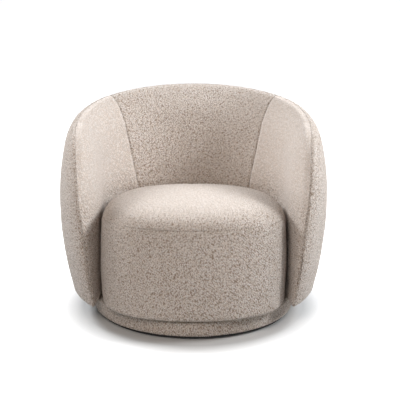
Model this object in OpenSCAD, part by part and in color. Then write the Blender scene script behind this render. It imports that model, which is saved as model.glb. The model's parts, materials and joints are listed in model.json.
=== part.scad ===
// Swivel tub chair: one padded shell wraps the back and arms round a tight seat.
// It turns on a ball bearing over a round plinth.
// Millimetres. The front faces -Y, +X is to the right as seen from the front, +Z is up.
// The origin is on the swivel axis at the floor. Plan angles are measured from the middle of the back.

/* [Shell] */
// Overall width of the back and arms
shell_w = 842; // [800:2:880]
// Height of the crest at the middle of the back
back_crest_z = 668; // [640:2:700]
// Height of the crest over the arms
arm_crest_z = 610; // [585:1:630]
// Height at which the outside bulges most
barrel_z = 360; // [320:5:400]
// Radius of the outside's upright curve below that height
barrel_low_r = 1110; // [1000:10:1600]
// Radius of the outside's upright curve above that height
barrel_high_r = 820; // [750:10:1200]
// Plan angle from the middle of the back to the front of each arm
arm_angle = 126.5; // [122:0.5:128]
// Height of the foremost point of each arm
nose_z = 78; // [75:1:100]
// Rounding of the crest and arm fronts on their outer side
rim_out_r = 50; // [40:1:65]
// Rounding of the crest and arm fronts on their inner side
rim_in_r = 95; // [70:1:110]
// Rounding of the shell's bottom edge on its outer side
hem_out_r = 16; // [13:1:22]
// Rounding of the arm fronts' bottom edge on their inner side
hem_in_r = 20; // [14:1:24]

/* [Well between the arms] */
// Thickness of the arms at the seat
arm_t = 132; // [126:1:140]
// Thickness of the back at the seat
back_t = 243; // [235:1:250]
// Height at which the inside back starts to lean
lean_z = 365; // [340:5:390]
// Lean of the inside back, in degrees
back_lean = 16.7; // [12:0.1:18]
// Radius of the curve that eases the lean
lean_curve_r = 1667; // [1400:10:2400]
// Outward slope of the inside arms, in degrees
arm_flare = 3.4; // [0:0.1:4]
// Plan angle of the two upright seams of the inside back
seam_angle = 52; // [46:0.5:58]

/* [Upholstery] */
// Thickness of the looped cloth with its backing
cover_t = 4; // [3:0.5:5]
// Space left between one layer and the next
layer_gap = 0.3; // [0.2:0.1:0.5]
// Space left between the shell's cloth and the curved filling under it
loft_gap = 2; // [1.8:0.1:2.5]
// Space left between the edges of two panels at a seam
seam_gap = 0.4; // [0.3:0.1:0.6]
// Space left between the outside padding and the inside foam along the rim
filling_gap = 3; // [2.5:0.5:4]
// Thickness of the padding on the outside
pad_t = 12; // [8:1:14]
// Thickness of the foam on the inside back
back_foam_t = 46; // [36:1:50]
// Thickness of the foam on the inside arms
arm_foam_t = 24; // [18:1:26]
// Depth of foam over the crest
crest_foam_t = 30; // [24:1:36]
// Thickness of the fibreboard and hessian liners
liner_t = 3; // [2:0.5:4]
// Space between a liner and the foam or frame next to it
liner_gap = 4; // [3.5:0.5:5]

/* [Seat] */
// Height of the seat and shell underside above the floor
body_z = 66; // [64:0.5:72]
// Gap between the seat's hem and each arm
seat_side_gap = 8; // [7:0.5:16]
// Gap between the seat's hem and the middle of the back
seat_rear_gap = 11; // [9:1:20]
// Least gap between the seat's hem and the back's curve
seat_curve_gap = 8; // [7:0.5:9]
// Y of the seat's middle, where front and rear curves meet
seat_mid_y = -135; // [-145:1:-125]
// Reach of the seat in front of its middle
seat_front_l = 203; // [190:1:215]
// How far the seat's sides swell out between hem and crown
seat_swell = 5.5; // [3:0.5:6]
// Height at which the seat's sides turn into the crown
shoulder_z = 312; // [295:1:325]
// Height of the crown
crown_z = 397; // [388:1:410]
// Backward tilt of the seat top, in degrees
seat_tilt = 1.7; // [0.5:0.1:2.5]
// Thickness of the foam round the seat's sides
border_foam_t = 24; // [18:1:28]
// Height of the underside of the seat's foam block
foam_z = 300; // [290:1:304]

/* [Frame] */
// Thickness of the plywood deck under seat and shell
deck_t = 18; // [15:1:20]
// Clearance between the deck's edge and the shell's padding
deck_play = 6; // [5:0.5:16]
// Thickness of the shell's curved rails
rail_t = 18; // [15:1:21]
// Height of the shell's middle rail
mid_rail_z = 300; // [280:5:320]
// Height of the shell's top rail
top_rail_z = 500; // [480:5:515]
// Thickness of the upright ribs
rib_t = 18; // [12:1:20]
// Thickness of the seat's curved rails
seat_rail_t = 22; // [18:1:26]
// Height of the top of the seat's rails
seat_rail_z = 262; // [250:1:266]
// Diameter of the spring wire
wire_d = 3.6; // [3:0.2:4]
// Half the side to side sweep of each spring
spring_sweep = 24; // [18:1:28]
// Rise of the springs at mid span
spring_rise = 14; // [8:1:18]
// Thickness of the felt pad over the springs
felt_t = 6; // [4:1:8]

/* [Plinth] */
// How far the plinth stands back from the shell's widest line
plinth_inset = 101; // [95:1:112]
// Height of the plinth's top
plinth_z = 60; // [58:0.5:61]
// Thickness of the floor pad
floor_pad_t = 3; // [2:0.5:5]
// Thickness of the black base board
base_board_t = 10; // [8:0.5:12]
// How far the base board stands back from the plinth's face
base_recess = 11; // [6:1:14]
// Thickness of the plinth's bent plywood ring
plinth_ring_t = 9; // [6:1:12]
// Thickness of the plinth's padding
plinth_pad_t = 6; // [4:0.5:8]
// Thickness of the plinth's top board
plinth_top_t = 15; // [12:1:16]
// Rounding of the plinth cover's top edge
plinth_edge_r = 9; // [7:0.5:11]
// Gap between the swivel plates and the plinth's cover
plinth_eye_gap = 55; // [30:1:75]

/* [Bearing] */
// Radius of the swivel plates
plate_r = 150; // [140:1:160]
// Thickness of each swivel plate
plate_t = 2.5; // [2:0.1:3]
// Diameter of the bearing balls
ball_d = 10; // [9:0.5:10]
// Radius of the circle of balls
ball_circle_r = 112; // [100:1:118]
// Number of balls
ball_count = 24; // [18:1:28]
// Running clearance between balls, races and cage
ball_play = 0.3; // [0.2:0.05:0.4]
// Width of each raised race
race_w = 24; // [20:1:26]
// Thickness of the ball cage
cage_t = 1.6; // [1.2:0.1:2]
// Diameter of the king pin
pin_d = 16; // [12:1:20]
// Running clearance round the king pin
pin_play = 0.1; // [0.05:0.01:0.1]
// Radius of the bolt circle of the plates
bolt_circle_r = 136; // [132:1:140]
// Diameter of the plates' bolts
bolt_d = 8; // [6:1:8]

/* [Hidden] */
$fn = 72;

// Colours
cloth = [0.83, 0.79, 0.75];
foam = [0.95, 0.90, 0.72];
plywood = [0.80, 0.66, 0.46];
steel = [0.62, 0.64, 0.66];
black = [0.10, 0.10, 0.10];

// Overrun of cuts
cut = 1;
full_turn = 360;
quarter_turn = 90;

// Shell outline: powers of its corner curves, and shares that place the rim between inside and outside
top_corner_power = 9.5;
top_fall_power = 2.6;
low_corner_power = 60;
low_fall_power = 3;
low_fall_share = 0.97;
hem_share = 0.75;
crest_fall_power = 0.8;
well_power = 2.1;
rim_back_share = 0.62;
rim_nose_share = 0.8;
rim_low_share = 0.65;
low_roll_share = 0.45;
low_nose_power = 12;
low_nose_h = 60;
nose_end_share = 0.9997;
row_shares = [0, 0.012, 0.045, 0.14, 0.3, 0.45, 0.57, 0.7, 0.8, 0.88, 0.935, 0.975, 0.993, 1];
padding_row_shares = [0, 0.045, 0.3, 0.45, 0.7, 0.88, 0.975, 1];
liner_row_shares = [0.06, 0.3, 0.47, 0.59, 0.72, 0.86];
back_column_count = 12;
arm_column_count = 12;
liner_column_count = 24;
shell_r = shell_w / 2;
well_half_w = shell_r - arm_t;
well_back_y = shell_r - back_t;
seat_half_w = well_half_w - seat_side_gap;
seat_rear_l = well_back_y - seat_rear_gap - seat_mid_y;

// Layers from the cloth's face inwards: cloth, padding or foam, liner, frame
face = 0;
cloth_back = 1;
pad_face = 2;
pad_back = 3;
liner_face = 4;
liner_back = 5;
frame_face = 6;
// Room ahead of the fillings in the arm fronts
nose_play = 3;
// Extra room for the corners of the flat ribs on the curved inside
rib_room = 6;
hem_min_r = 3;

// Deck
deck_z = body_z + cover_t;
deck_top_z = deck_z + deck_t;
deck_room = 2;
// Plan angles between which the inside layers drop from the deck's top to the hem
drop_lag_angle = 3.2;
drop_sweep_angle = 6.8;
// Depth of the seat's frame behind the cloth, and half width of the deck's front tongue under that frame
foam_inset = cover_t + layer_gap;
frame_inset = foam_inset + border_foam_t + layer_gap;
tongue_half_w = seat_half_w - frame_inset;

function clamp(x, low, high) = min(max(x, low), high);
function ease(x) = let (s = clamp(x, 0, 1)) s * s * (3 - 2 * s);
function roundover(x) = let (s = 1 - clamp(x, 0, 1)) sqrt(max(1 - s * s, 0));
function degrees_of(arc, radius) = arc / radius * 180 / PI;
function total(list, upto) = upto < 0 ? 0 : list[upto] + total(list, upto - 1);

// Depth of a layer below the cloth's face, where its foam or padding is this thick
function depth(layer, soft_t) = total([0, cover_t, loft_gap, soft_t, liner_gap, liner_t, liner_gap], layer);
function edge_gap(layer) = layer > cloth_back ? filling_gap : seam_gap;
function foam_at(angle) = arm_foam_t + (back_foam_t - arm_foam_t) * max(cos(angle), 0);

// Outside radius of the shell at a height
function barrel_r(z) = shell_r - pow(z - barrel_z, 2) / (2 * (z < barrel_z ? barrel_low_r : barrel_high_r));

// Radius of the well at a plan angle and height, grown by a depth
function well_r(angle, z, grow) =
    let (
        up = max(z - lean_z, 0),
        reach = well_back_y + tan(back_lean) * up + up * up / (2 * lean_curve_r) + grow,
        half_w = well_half_w + tan(arm_flare) * up + grow,
        across = abs(sin(angle)) / half_w,
        along = max(cos(angle), 0) / reach
    )
    pow(pow(across, well_power) + pow(along, well_power), -1 / well_power);

function crest_z(angle) =
    arm_crest_z + (back_crest_z - arm_crest_z) * pow(max(cos(min(abs(angle), quarter_turn)), 0), crest_fall_power);

// Plan angle at which a layer's arm ends
function end_angle(layer) =
    arm_angle - degrees_of(depth(layer, crest_foam_t) + (layer > cloth_back ? nose_play : 0), shell_r);

// Bottom height of a layer: the hem, or clear of the deck that passes under the seat
function bottom_z(layer, outer, angle) =
    let (
        inset = min(depth(layer, 0), cover_t + loft_gap),
        hem = body_z + inset,
        over_deck = deck_top_z + deck_room + inset,
        drop = outer ? 1
                     : ease((abs(angle) - drop_start_angle) / (drop_end_angle - drop_start_angle))
    )
    over_deck + (hem - over_deck) * drop;

function outline_share(layer, angle) = min(abs(angle) / end_angle(layer), 1);
function rim_z(layer, angle) =
    nose_z + (crest_z(angle) - depth(layer, crest_foam_t) - nose_z)
        * pow(1 - pow(outline_share(layer, angle), top_corner_power), 1 / top_fall_power);
function low_z(layer, outer, angle) =
    nose_z - (nose_z - bottom_z(layer, outer, angle))
        * pow(1 - pow(outline_share(layer, angle), low_corner_power), 1 / low_fall_power);

// Plan angle at which a layer's outline stands at this height
function outline_angle(layer, outer, angle, z) =
    let (
        rise = clamp((z - nose_z) / (crest_z(angle) - depth(layer, crest_foam_t) - nose_z), 0, 1),
        fall = clamp((nose_z - z) / (nose_z - bottom_z(layer, outer, angle)), 0, low_fall_share)
    )
    end_angle(layer) * (z > nose_z
        ? pow(1 - pow(rise, top_fall_power), 1 / top_corner_power)
        : pow(1 - pow(fall, low_fall_power), 1 / low_corner_power));

// How far the rim line has turned under the arm's foot, from 0 to 1
function low_nose(layer, angle, z) =
    pow(clamp(1 - (z - body_z) / low_nose_h, 0, 1), 2) * pow(outline_share(layer, angle), low_nose_power);
function rim_share(layer, angle, z) =
    rim_back_share + (rim_nose_share - rim_back_share) * pow(outline_share(layer, angle), 2)
        - (rim_nose_share - rim_low_share) * low_nose(layer, angle, z);

// Radius of a layer's outer or inner sheet at a plan angle and height
function sheet_r(layer, outer, angle, z) =
    let (
        outer_r = barrel_r(z) - depth(layer, pad_t),
        inner_r = well_r(angle, z, depth(layer, foam_at(angle))),
        wall = outer_r - inner_r,
        share = rim_share(layer, angle, z),
        middle = inner_r + wall * share,
        ahead = max(outline_angle(layer, outer, angle, z) - abs(angle), 0) * PI / 180 * middle,
        above = max(rim_z(layer, angle) - z, 0),
        below = max(z - low_z(layer, outer, angle), 0),
        to_rim = ahead * above == 0 ? 0 : ahead * above / norm([ahead, above]),
        full = wall * (outer ? 1 - share : share),
        open_hem_r = outer ? hem_out_r - depth(layer, pad_t * hem_share) : hem_in_r - depth(layer, 0),
        hem_r = min(max(open_hem_r, hem_min_r), full),
        rim_r = outer ? rim_out_r : rim_in_r * (1 - (1 - low_roll_share) * low_nose(layer, angle, z)),
        swell = roundover(to_rim / rim_r),
        tuck = hem_r / full * (1 - roundover(below / hem_r)),
        reach = max(full * swell * (1 - tuck), edge_gap(layer) / 2)
    )
    outer ? middle + reach : middle - reach;

function polar(radius, angle, z) = [radius * sin(angle), radius * cos(angle), z];

// One column of a sheet; the last column of an arm closes on the rim line
function column(layer, outer, angle, rows) =
    let (
        low = low_z(layer, outer, angle),
        high = rim_z(layer, angle),
        closed = abs(angle) > end_angle(layer) * (1 + nose_end_share * nose_end_share) / 2
    )
    [for (row = rows)
        let (z = low + (high - low) * row)
        polar(closed ? closing_r(layer, outer, angle, z) : sheet_r(layer, outer, angle, z), angle, z)];
function closing_r(layer, outer, angle, z) =
    let (
        outer_r = barrel_r(z) - depth(layer, pad_t),
        inner_r = well_r(angle, z, depth(layer, foam_at(angle)))
    )
    inner_r + (outer_r - inner_r) * rim_share(layer, angle, z) + (outer ? 1 : -1) * edge_gap(layer) / 2;

// Plan angles of the columns
seam_half = degrees_of(seam_gap / 2, well_back_y);
function even_angles(limit, steps) = [for (i = [-steps / 2:steps / 2]) limit * 2 * i / steps];
function forward_angles(layer, start, first) =
    [for (i = [first:arm_column_count])
        i == 0 ? start : seam_angle + (end_angle(layer) * nose_end_share - seam_angle) * sin(quarter_turn * i / arm_column_count)];
function reversed(list) = [for (i = [len(list) - 1:-1:0]) -list[i]];
function outside_angles(layer) =
    let (arm = forward_angles(layer, seam_angle, 1))
    concat(reversed(arm), even_angles(seam_angle, back_column_count), arm);

function two_triangles(a, b, c, d) = [[a, b, c], [a, c, d]];
function flat_list(lists) = [for (list = lists) each list];

// Closed panel between two sheets of columns that have as many points each
module panel(face_columns, back_columns, flip) {
    m = len(face_columns) - 1;
    n = len(face_columns[0]) - 1;
    off = (m + 1) * (n + 1);
    border = concat(
        [for (i = [0:m - 1]) i * (n + 1)],
        [for (j = [0:n - 1]) m * (n + 1) + j],
        [for (i = [m:-1:1]) i * (n + 1) + n],
        [for (j = [n:-1:1]) j]
    );
    quads = flat_list([for (i = [0:m - 1], j = [0:n - 1])
        let (a = i * (n + 1) + j, b = a + n + 1, c = b + 1, d = a + 1)
        concat(two_triangles(a, b, c, d), two_triangles(a + off, d + off, c + off, b + off))]);
    walls = flat_list([for (k = [0:len(border) - 1])
        let (p = border[k], q = border[(k + 1) % len(border)])
        two_triangles(q, p, p + off, q + off)]);
    faces = concat(quads, walls);
    polyhedron(
        points = concat(flat_list(face_columns), flat_list(back_columns)),
        faces = flip ? [for (f = faces) [f[2], f[1], f[0]]] : faces
    );
}

module outside_layer(front, back, rows) {
    panel(
        [for (a = outside_angles(front)) column(front, true, a, rows)],
        [for (a = outside_angles(back)) column(back, true, a, rows)],
        false
    );
}

module inside_back_layer(front, back) {
    panel(
        [for (a = even_angles(seam_angle - seam_half, back_column_count)) column(front, false, a, row_shares)],
        [for (a = even_angles(seam_angle - seam_half, back_column_count)) column(back, false, a, row_shares)],
        true
    );
}

module inside_arm_layer(front, back) {
    panel(
        [for (a = forward_angles(front, seam_angle + seam_half, 0)) column(front, false, a, row_shares)],
        [for (a = forward_angles(back, seam_angle + seam_half, 0)) column(back, false, a, row_shares)],
        true
    );
}

module liner(outer, limit) {
    panel(
        [for (a = even_angles(limit, liner_column_count)) column(liner_face, outer, a, liner_row_shares)],
        [for (a = even_angles(limit, liner_column_count)) column(liner_back, outer, a, liner_row_shares)],
        !outer
    );
}

// Shell covers and padding
module outside_cover() { color(cloth) outside_layer(face, cloth_back, row_shares); }
module inside_back_cover() { color(cloth) inside_back_layer(face, cloth_back); }
module left_arm_cover() { color(cloth) mirror([1, 0, 0]) inside_arm_layer(face, cloth_back); }
module right_arm_cover() { color(cloth) inside_arm_layer(face, cloth_back); }
module outer_padding() { color(foam) outside_layer(pad_face, pad_back, padding_row_shares); }
module back_foam() { color(foam) inside_back_layer(pad_face, pad_back); }
module left_arm_foam() { color(foam) mirror([1, 0, 0]) inside_arm_layer(pad_face, pad_back); }
module right_arm_foam() { color(foam) inside_arm_layer(pad_face, pad_back); }

liner_angle = 106;
module outer_liner() { color("peru") liner(true, liner_angle); }
module inner_liner() { color("tan") liner(false, liner_angle); }

// Shell frame: three curved plywood rails with upright ribs between them
rail_step_angle = 6;
base_rail_angle = 102;
middle_rail_angle = 108;
top_rail_angle = 84;
rib_angles = [-78, -52, -26, 0, 26, 52, 78];
post_angle = 102;
base_rail_top_z = deck_top_z + rail_t;
mid_rail_top_z = mid_rail_z + rail_t;
top_rail_top_z = top_rail_z + rail_t;
post_share = 0.6;
post_top_z = mid_rail_top_z + (top_rail_z - mid_rail_top_z) * post_share;
rib_sample_count = 5;
rail_room = 2;
former_drop = 26;

room_share = 0.3;
function frame_w(angle, z) = sheet_r(frame_face, true, angle, z) - sheet_r(frame_face, false, angle, z);
function frame_out_r(angle, z) = sheet_r(frame_face, true, angle, z) - min(rail_room, frame_w(angle, z) * room_share);
function frame_in_r(angle, z) = sheet_r(frame_face, false, angle, z) + min(rib_room, frame_w(angle, z) * room_share);

module curved_rail(limit, low, high) {
    angles = [for (a = [-limit:rail_step_angle:limit]) a];
    outer = [for (a = angles) let (r = min(frame_out_r(a, low), frame_out_r(a, high))) [r * sin(a), r * cos(a)]];
    inner = [for (a = angles) let (r = max(frame_in_r(a, low), frame_in_r(a, high))) [r * sin(a), r * cos(a)]];
    last = len(angles) - 1;
    translate([0, 0, low]) linear_extrude(high - low)
        polygon(concat(outer, [for (i = [0:last]) inner[last - i]]));
}

// Upright board that fills the frame's section at one plan angle between two heights
module rib(angle, low, high) {
    heights = [for (i = [0:rib_sample_count]) low + (high - low) * i / rib_sample_count];
    outer = [for (z = heights) [frame_out_r(angle, z) - min(rib_room / 2, frame_w(angle, z) * room_share), z]];
    inner = [for (i = [0:rib_sample_count]) let (z = heights[rib_sample_count - i]) [frame_in_r(angle, z), z]];
    rotate([0, 0, quarter_turn - angle]) rotate([quarter_turn, 0, 0]) translate([0, 0, -rib_t / 2])
        linear_extrude(rib_t) polygon(concat(outer, inner));
}

module shell_base_rail() {
    color(plywood) difference() {
        curved_rail(base_rail_angle, deck_top_z, base_rail_top_z);
        for (a = shell_screw_angles) screw_at(shell_screw_r, a) screw_bore(screw_d);
    }
}
module shell_middle_rail() { color(plywood) curved_rail(middle_rail_angle, mid_rail_z, mid_rail_top_z); }
module shell_top_rail() { color(plywood) curved_rail(top_rail_angle, top_rail_z, top_rail_top_z); }
module lower_ribs() {
    color(plywood) for (a = concat(rib_angles, [-post_angle, post_angle])) rib(a, base_rail_top_z, mid_rail_z);
}
module upper_ribs() { color(plywood) for (a = rib_angles) rib(a, mid_rail_top_z, top_rail_z); }
module arm_front_posts() { color(plywood) for (a = [-post_angle, post_angle]) rib(a, mid_rail_top_z, post_top_z); }
module crest_formers() {
    color(plywood) for (a = rib_angles) rib(a, top_rail_top_z, rim_z(frame_face, a) - former_drop);
}

// Deck and its fasteners; the deck reaches out to the lower edge of the shell's padding
deck_r = sheet_r(pad_back, true, 0, bottom_z(pad_back, true, 0)) - deck_play;
screw_d = 5;
screw_head_d = 10;
screw_head_t = 3;
screw_play = 0.2;
screw_bite_share = 0.7;
screw_bite = deck_t + rail_t * screw_bite_share;
shell_screw_r = (deck_r + well_half_w + cover_t + layer_gap + arm_foam_t + liner_t + liner_gap * 2 + rib_room) / 2;
seat_screw_angles = [20, 62, 118, 160, 200, 242, 298, 340];

module screw_at(radius, angle) { translate([radius * sin(angle), radius * cos(angle), deck_z]) children(); }
module screw_bore(bore_d) { translate([0, 0, -cut]) cylinder(d = bore_d + screw_play * 2, h = screw_bite + screw_play + cut); }
module screw() {
    cylinder(d = screw_head_d, h = screw_head_t);
    cylinder(d = screw_d, h = screw_bite);
}
module screw_head_bore() {
    translate([0, 0, -cut])
        cylinder(d = screw_head_d + screw_play * 2, h = screw_head_t + screw_play + cut);
    screw_bore(screw_d);
}

module deck_outline() {
    difference() {
        circle(r = deck_r);
        translate([-deck_r * 2, -deck_r * 2]) square([deck_r * 4, deck_r * 2 + tongue_y]);
    }
    intersection() {
        translate([-tongue_half_w, -deck_r * 2]) square([tongue_half_w * 2, deck_r * 2 + tongue_y + cut]);
        seat_outline(frame_inset);
    }
}
module deck_board() {
    color(plywood) difference() {
        translate([0, 0, deck_z]) linear_extrude(deck_t) deck_outline();
        translate([0, 0, deck_z - cut]) cylinder(r = pin_head_r + deck_room, h = deck_t + cut * 2);
        at_bolts(bolt_circle_r) translate([0, 0, deck_z - cut])
            cylinder(d = tee_barrel_d + screw_play * 2, h = deck_t + cut * 2);
        for (a = shell_screw_angles) screw_at(shell_screw_r, a) screw_head_bore();
        at_seat_screws() screw_head_bore();
    }
}
module deck_screws() {
    color(steel) {
        for (a = shell_screw_angles) screw_at(shell_screw_r, a) screw();
        at_seat_screws() screw();
    }
}
dust_cover_t = 1.2;
dust_margin = 23;
dust_cover_r = deck_r - dust_margin;
module dust_cover() {
    color(black) translate([0, 0, deck_z - dust_cover_t]) linear_extrude(dust_cover_t) difference() {
        intersection() {
            circle(r = dust_cover_r);
            union() {
                translate([-tongue_half_w, -deck_r * 2]) square([tongue_half_w * 2, deck_r * 4]);
                translate([-deck_r, tongue_y]) square([deck_r * 2, deck_r]);
            }
            offset_outline();
        }
        circle(r = plate_r + deck_room);
    }
}
module offset_outline() {
    seat_outline(frame_inset);
    translate([-deck_r, tongue_y]) square([deck_r * 2, deck_r]);
}

// Seat plan: front and rear curves of one power that meet at the widest line
seat_rear_power = 2.7;
seat_front_power = 2.3;
seat_turn_count = 48;
seat_step_angle = full_turn / seat_turn_count;
drop_run = 24;
function seat_r(turn, inset) =
    let (
        power = cos(turn) > 0 ? seat_rear_power : seat_front_power,
        along = abs(cos(turn)) / ((cos(turn) > 0 ? seat_rear_l : seat_front_l) - inset),
        across = abs(sin(turn)) / (seat_half_w - inset)
    )
    pow(pow(across, power) + pow(along, power), -1 / power);
function well_y(x, inset) =
    (well_back_y - inset) * pow(max(1 - pow(abs(x) / (well_half_w - inset), well_power), 0), 1 / well_power);
function seat_xy(turn, inset, share) =
    let (r = seat_r(turn, inset), x = r * sin(turn), y = seat_mid_y + r * cos(turn))
    [x * share, seat_mid_y + ((y > 0 ? min(y, well_y(x, seat_curve_gap + inset)) : y) - seat_mid_y) * share];
// Y at which the deck narrows to its tongue, just behind one corner of the seat's outline
tongue_corner_count = 9;
tongue_turn_angle = seat_step_angle * tongue_corner_count;
tongue_play = 1.5;
tongue_y = seat_xy(tongue_turn_angle, 0, 1)[1] + tongue_play;
deck_edge_angle = quarter_turn + atan(-tongue_y / well_half_w);
drop_start_angle = deck_edge_angle + drop_lag_angle;
drop_end_angle = drop_start_angle + drop_sweep_angle;
screw_lag_angle = 4;
shell_screw_shares = [-1, -0.722, -0.433, -0.144, 0.144, 0.433, 0.722, 1];
shell_screw_angles = [for (share = shell_screw_shares) share * (deck_edge_angle - screw_lag_angle)];
module seat_outline(inset) { polygon([for (i = [0:seat_turn_count - 1]) seat_xy(full_turn * i / seat_turn_count, inset, 1)]); }

// Seat surface. Rows 0 to side_row_count climb the side, and the rest cross the crown, whose section is a power curve.
crown_row_count = 7;
crown_in_power = 3.5;
crown_up_power = 2.8;
seat_hem_share = 0.985;
side_shares = [0, 0.04, 0.16, 0.42, 0.72, 1];
side_row_count = len(side_shares) - 1;
seat_row_count = side_row_count + crown_row_count;
function seat_bottom_z(layer_depth, turn) =
    let (
        drop = ease((tongue_y - deck_room - seat_xy(turn, layer_depth, 1)[1]) / drop_run),
        inset = min(layer_depth, cover_t + layer_gap),
        over_deck = deck_top_z + deck_room + inset
    )
    over_deck + (body_z + inset - over_deck) * drop;
function tilt_share(z) = clamp((z - foam_z) / (shoulder_z - foam_z) / 2, 0, 1);
function tilted(p) = [p[0], p[1], p[2] - tan(seat_tilt) * (p[1] - seat_mid_y) * tilt_share(p[2])];
function seat_point(turn, row, inset) =
    row <= side_row_count
        ? let (
            low = seat_bottom_z(inset, turn),
            share = side_shares[row],
            z = low + (shoulder_z - low) * share,
            out = seat_swell * (1 - pow(2 * share - 1, 2)),
            tuck = row == 0 ? seat_hem_share : 1,
            xy = seat_xy(turn, inset - out, tuck)
        ) tilted([xy[0], xy[1], z])
        : let (
            climb = quarter_turn * (row - side_row_count) / crown_row_count,
            xy = seat_xy(turn, inset, pow(cos(climb), 2 / crown_in_power)),
            z = shoulder_z + (crown_z - inset - shoulder_z) * pow(sin(climb), 2 / crown_up_power)
        ) tilted([xy[0], xy[1], z]);

// Closed ring from a list of rings that starts and ends at its hollow, or a dome closed by tip points
module ring_solid(rings) {
    n = len(rings[0]);
    m = len(rings);
    polyhedron(
        points = flat_list(rings),
        faces = flat_list([for (i = [0:m - 1], k = [0:n - 1])
            let (a = i * n + k, b = i * n + (k + 1) % n, c = ((i + 1) % m) * n + (k + 1) % n, d = ((i + 1) % m) * n + k)
            two_triangles(a, b, c, d)])
    );
}
module cup_solid(outer_rings, outer_tip, inner_rings, inner_tip) {
    n = len(outer_rings[0]);
    rings = concat(outer_rings, inner_rings);
    m = len(outer_rings);
    q = len(rings);
    function ring_quads(from, to) = flat_list([for (i = [from:to - 1], k = [0:n - 1])
        two_triangles(i * n + k, i * n + (k + 1) % n, (i + 1) * n + (k + 1) % n, (i + 1) * n + k)]);
    outer_fan = [for (k = [0:n - 1]) [(m - 1) * n + (k + 1) % n, q * n, (m - 1) * n + k]];
    inner_fan = [for (k = [0:n - 1]) [q * n + 1, m * n + (k + 1) % n, m * n + k]];
    rim = flat_list([for (k = [0:n - 1])
        two_triangles((q - 1) * n + k, (q - 1) * n + (k + 1) % n, (k + 1) % n, k)]);
    polyhedron(
        points = concat(flat_list(rings), [outer_tip, inner_tip]),
        faces = concat(ring_quads(0, m - 1), ring_quads(m, q - 1), outer_fan, inner_fan, rim)
    );
}
seat_turns = [for (i = [0:seat_turn_count - 1]) full_turn * i / seat_turn_count];
function seat_ring(row, inset) = [for (t = seat_turns) seat_point(t, row, inset)];
function flat_ring(inset, z) = [for (t = seat_turns) let (xy = seat_xy(t, inset, 1)) [xy[0], xy[1], z]];
function seat_tip(inset) = [0, seat_mid_y, crown_z - inset];
seam_row = side_row_count + 1;

module seat_top_cover() {
    color(cloth) cup_solid(
        [for (row = [seam_row:seat_row_count - 1]) seat_ring(row, 0)], seat_tip(0),
        [for (row = [seat_row_count - 1:-1:seam_row]) seat_ring(row, cover_t)], seat_tip(cover_t)
    );
}
module seat_border_cover() {
    lift = [0, 0, -seam_gap];
    color(cloth) ring_solid(concat(
        [for (row = [0:side_row_count]) seat_ring(row, 0)],
        [[for (p = seat_ring(seam_row, 0)) p + lift]],
        [[for (p = seat_ring(seam_row, cover_t)) p + lift]],
        [for (row = [side_row_count:-1:0]) seat_ring(row, cover_t)]
    ));
}
module seat_foam() {
    low = [for (t = seat_turns) let (xy = seat_xy(t, frame_inset - layer_gap, 1)) [xy[0], xy[1], seat_bottom_z(foam_inset, t)]];
    color(foam) cup_solid(
        [for (row = [0:seat_row_count - 1]) seat_ring(row, foam_inset)], seat_tip(foam_inset),
        [flat_ring(frame_inset - layer_gap, foam_z), low], [0, seat_mid_y, foam_z]
    );
}

// Seat frame: curved rails that follow the seat's plan, with blocks inside their joints
joint_angles = [45, 112.5];
module seat_rail(from, to, inset, thick, low, high) {
    between = [for (i = [ceil((from + rail_joint_angle) / seat_step_angle):floor((to - rail_joint_angle) / seat_step_angle)]) i * seat_step_angle];
    turns = concat([from], between, [to]);
    outer = [for (turn = turns) seat_xy(turn, inset, 1)];
    inner = [for (i = [len(turns) - 1:-1:0]) seat_xy(turns[i], inset + thick, 1)];
    translate([0, 0, low]) linear_extrude(high - low) polygon(concat(outer, inner));
}
rail_joint_angle = 0.1;
block_gap = 0.1;
module seat_front_rail() {
    color(plywood) difference() {
        seat_rail(joint_angles[1] + rail_joint_angle, full_turn - joint_angles[1] - rail_joint_angle, frame_inset, seat_rail_t,
            deck_top_z, seat_rail_z);
        at_seat_screws() screw_bore(screw_d);
        tee_relief();
    }
}
module seat_rear_rail() {
    color(plywood) difference() {
        seat_rail(-joint_angles[0] + rail_joint_angle, joint_angles[0] - rail_joint_angle, frame_inset, seat_rail_t,
            deck_top_z, seat_rail_z);
        at_seat_screws() screw_bore(screw_d);
        tee_relief();
    }
}
module seat_side_rails() {
    color(plywood) for (side = [0, 1]) mirror([side, 0, 0]) difference() {
        seat_rail(joint_angles[0] + rail_joint_angle, joint_angles[1] - rail_joint_angle, frame_inset, seat_rail_t,
            deck_top_z, seat_rail_z);
        at_seat_screws() screw_bore(screw_d);
        tee_relief();
    }
}
// Room over the tee nuts, where a rail passes over them
module tee_relief() {
    at_bolts(bolt_circle_r) translate([0, 0, deck_top_z - cut])
        cylinder(d = tee_flange_d + screw_play * 2, h = tee_flange_t + screw_play + cut);
}
module at_seat_screws() {
    for (t = seat_screw_angles) let (xy = seat_xy(t, frame_inset + seat_rail_t / 2, 1))
        translate([xy[0], xy[1], deck_z]) children();
}
block_angle = seat_step_angle;
block_drop = 40;
block_share = 1.5;
module seat_corner_blocks() {
    color("burlywood") for (side = [0, 1], t = joint_angles) mirror([side, 0, 0])
        seat_rail(t - block_angle, t + block_angle, frame_inset + seat_rail_t + block_gap, seat_rail_t * block_share,
            deck_top_z, seat_rail_z - block_drop);
}

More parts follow.
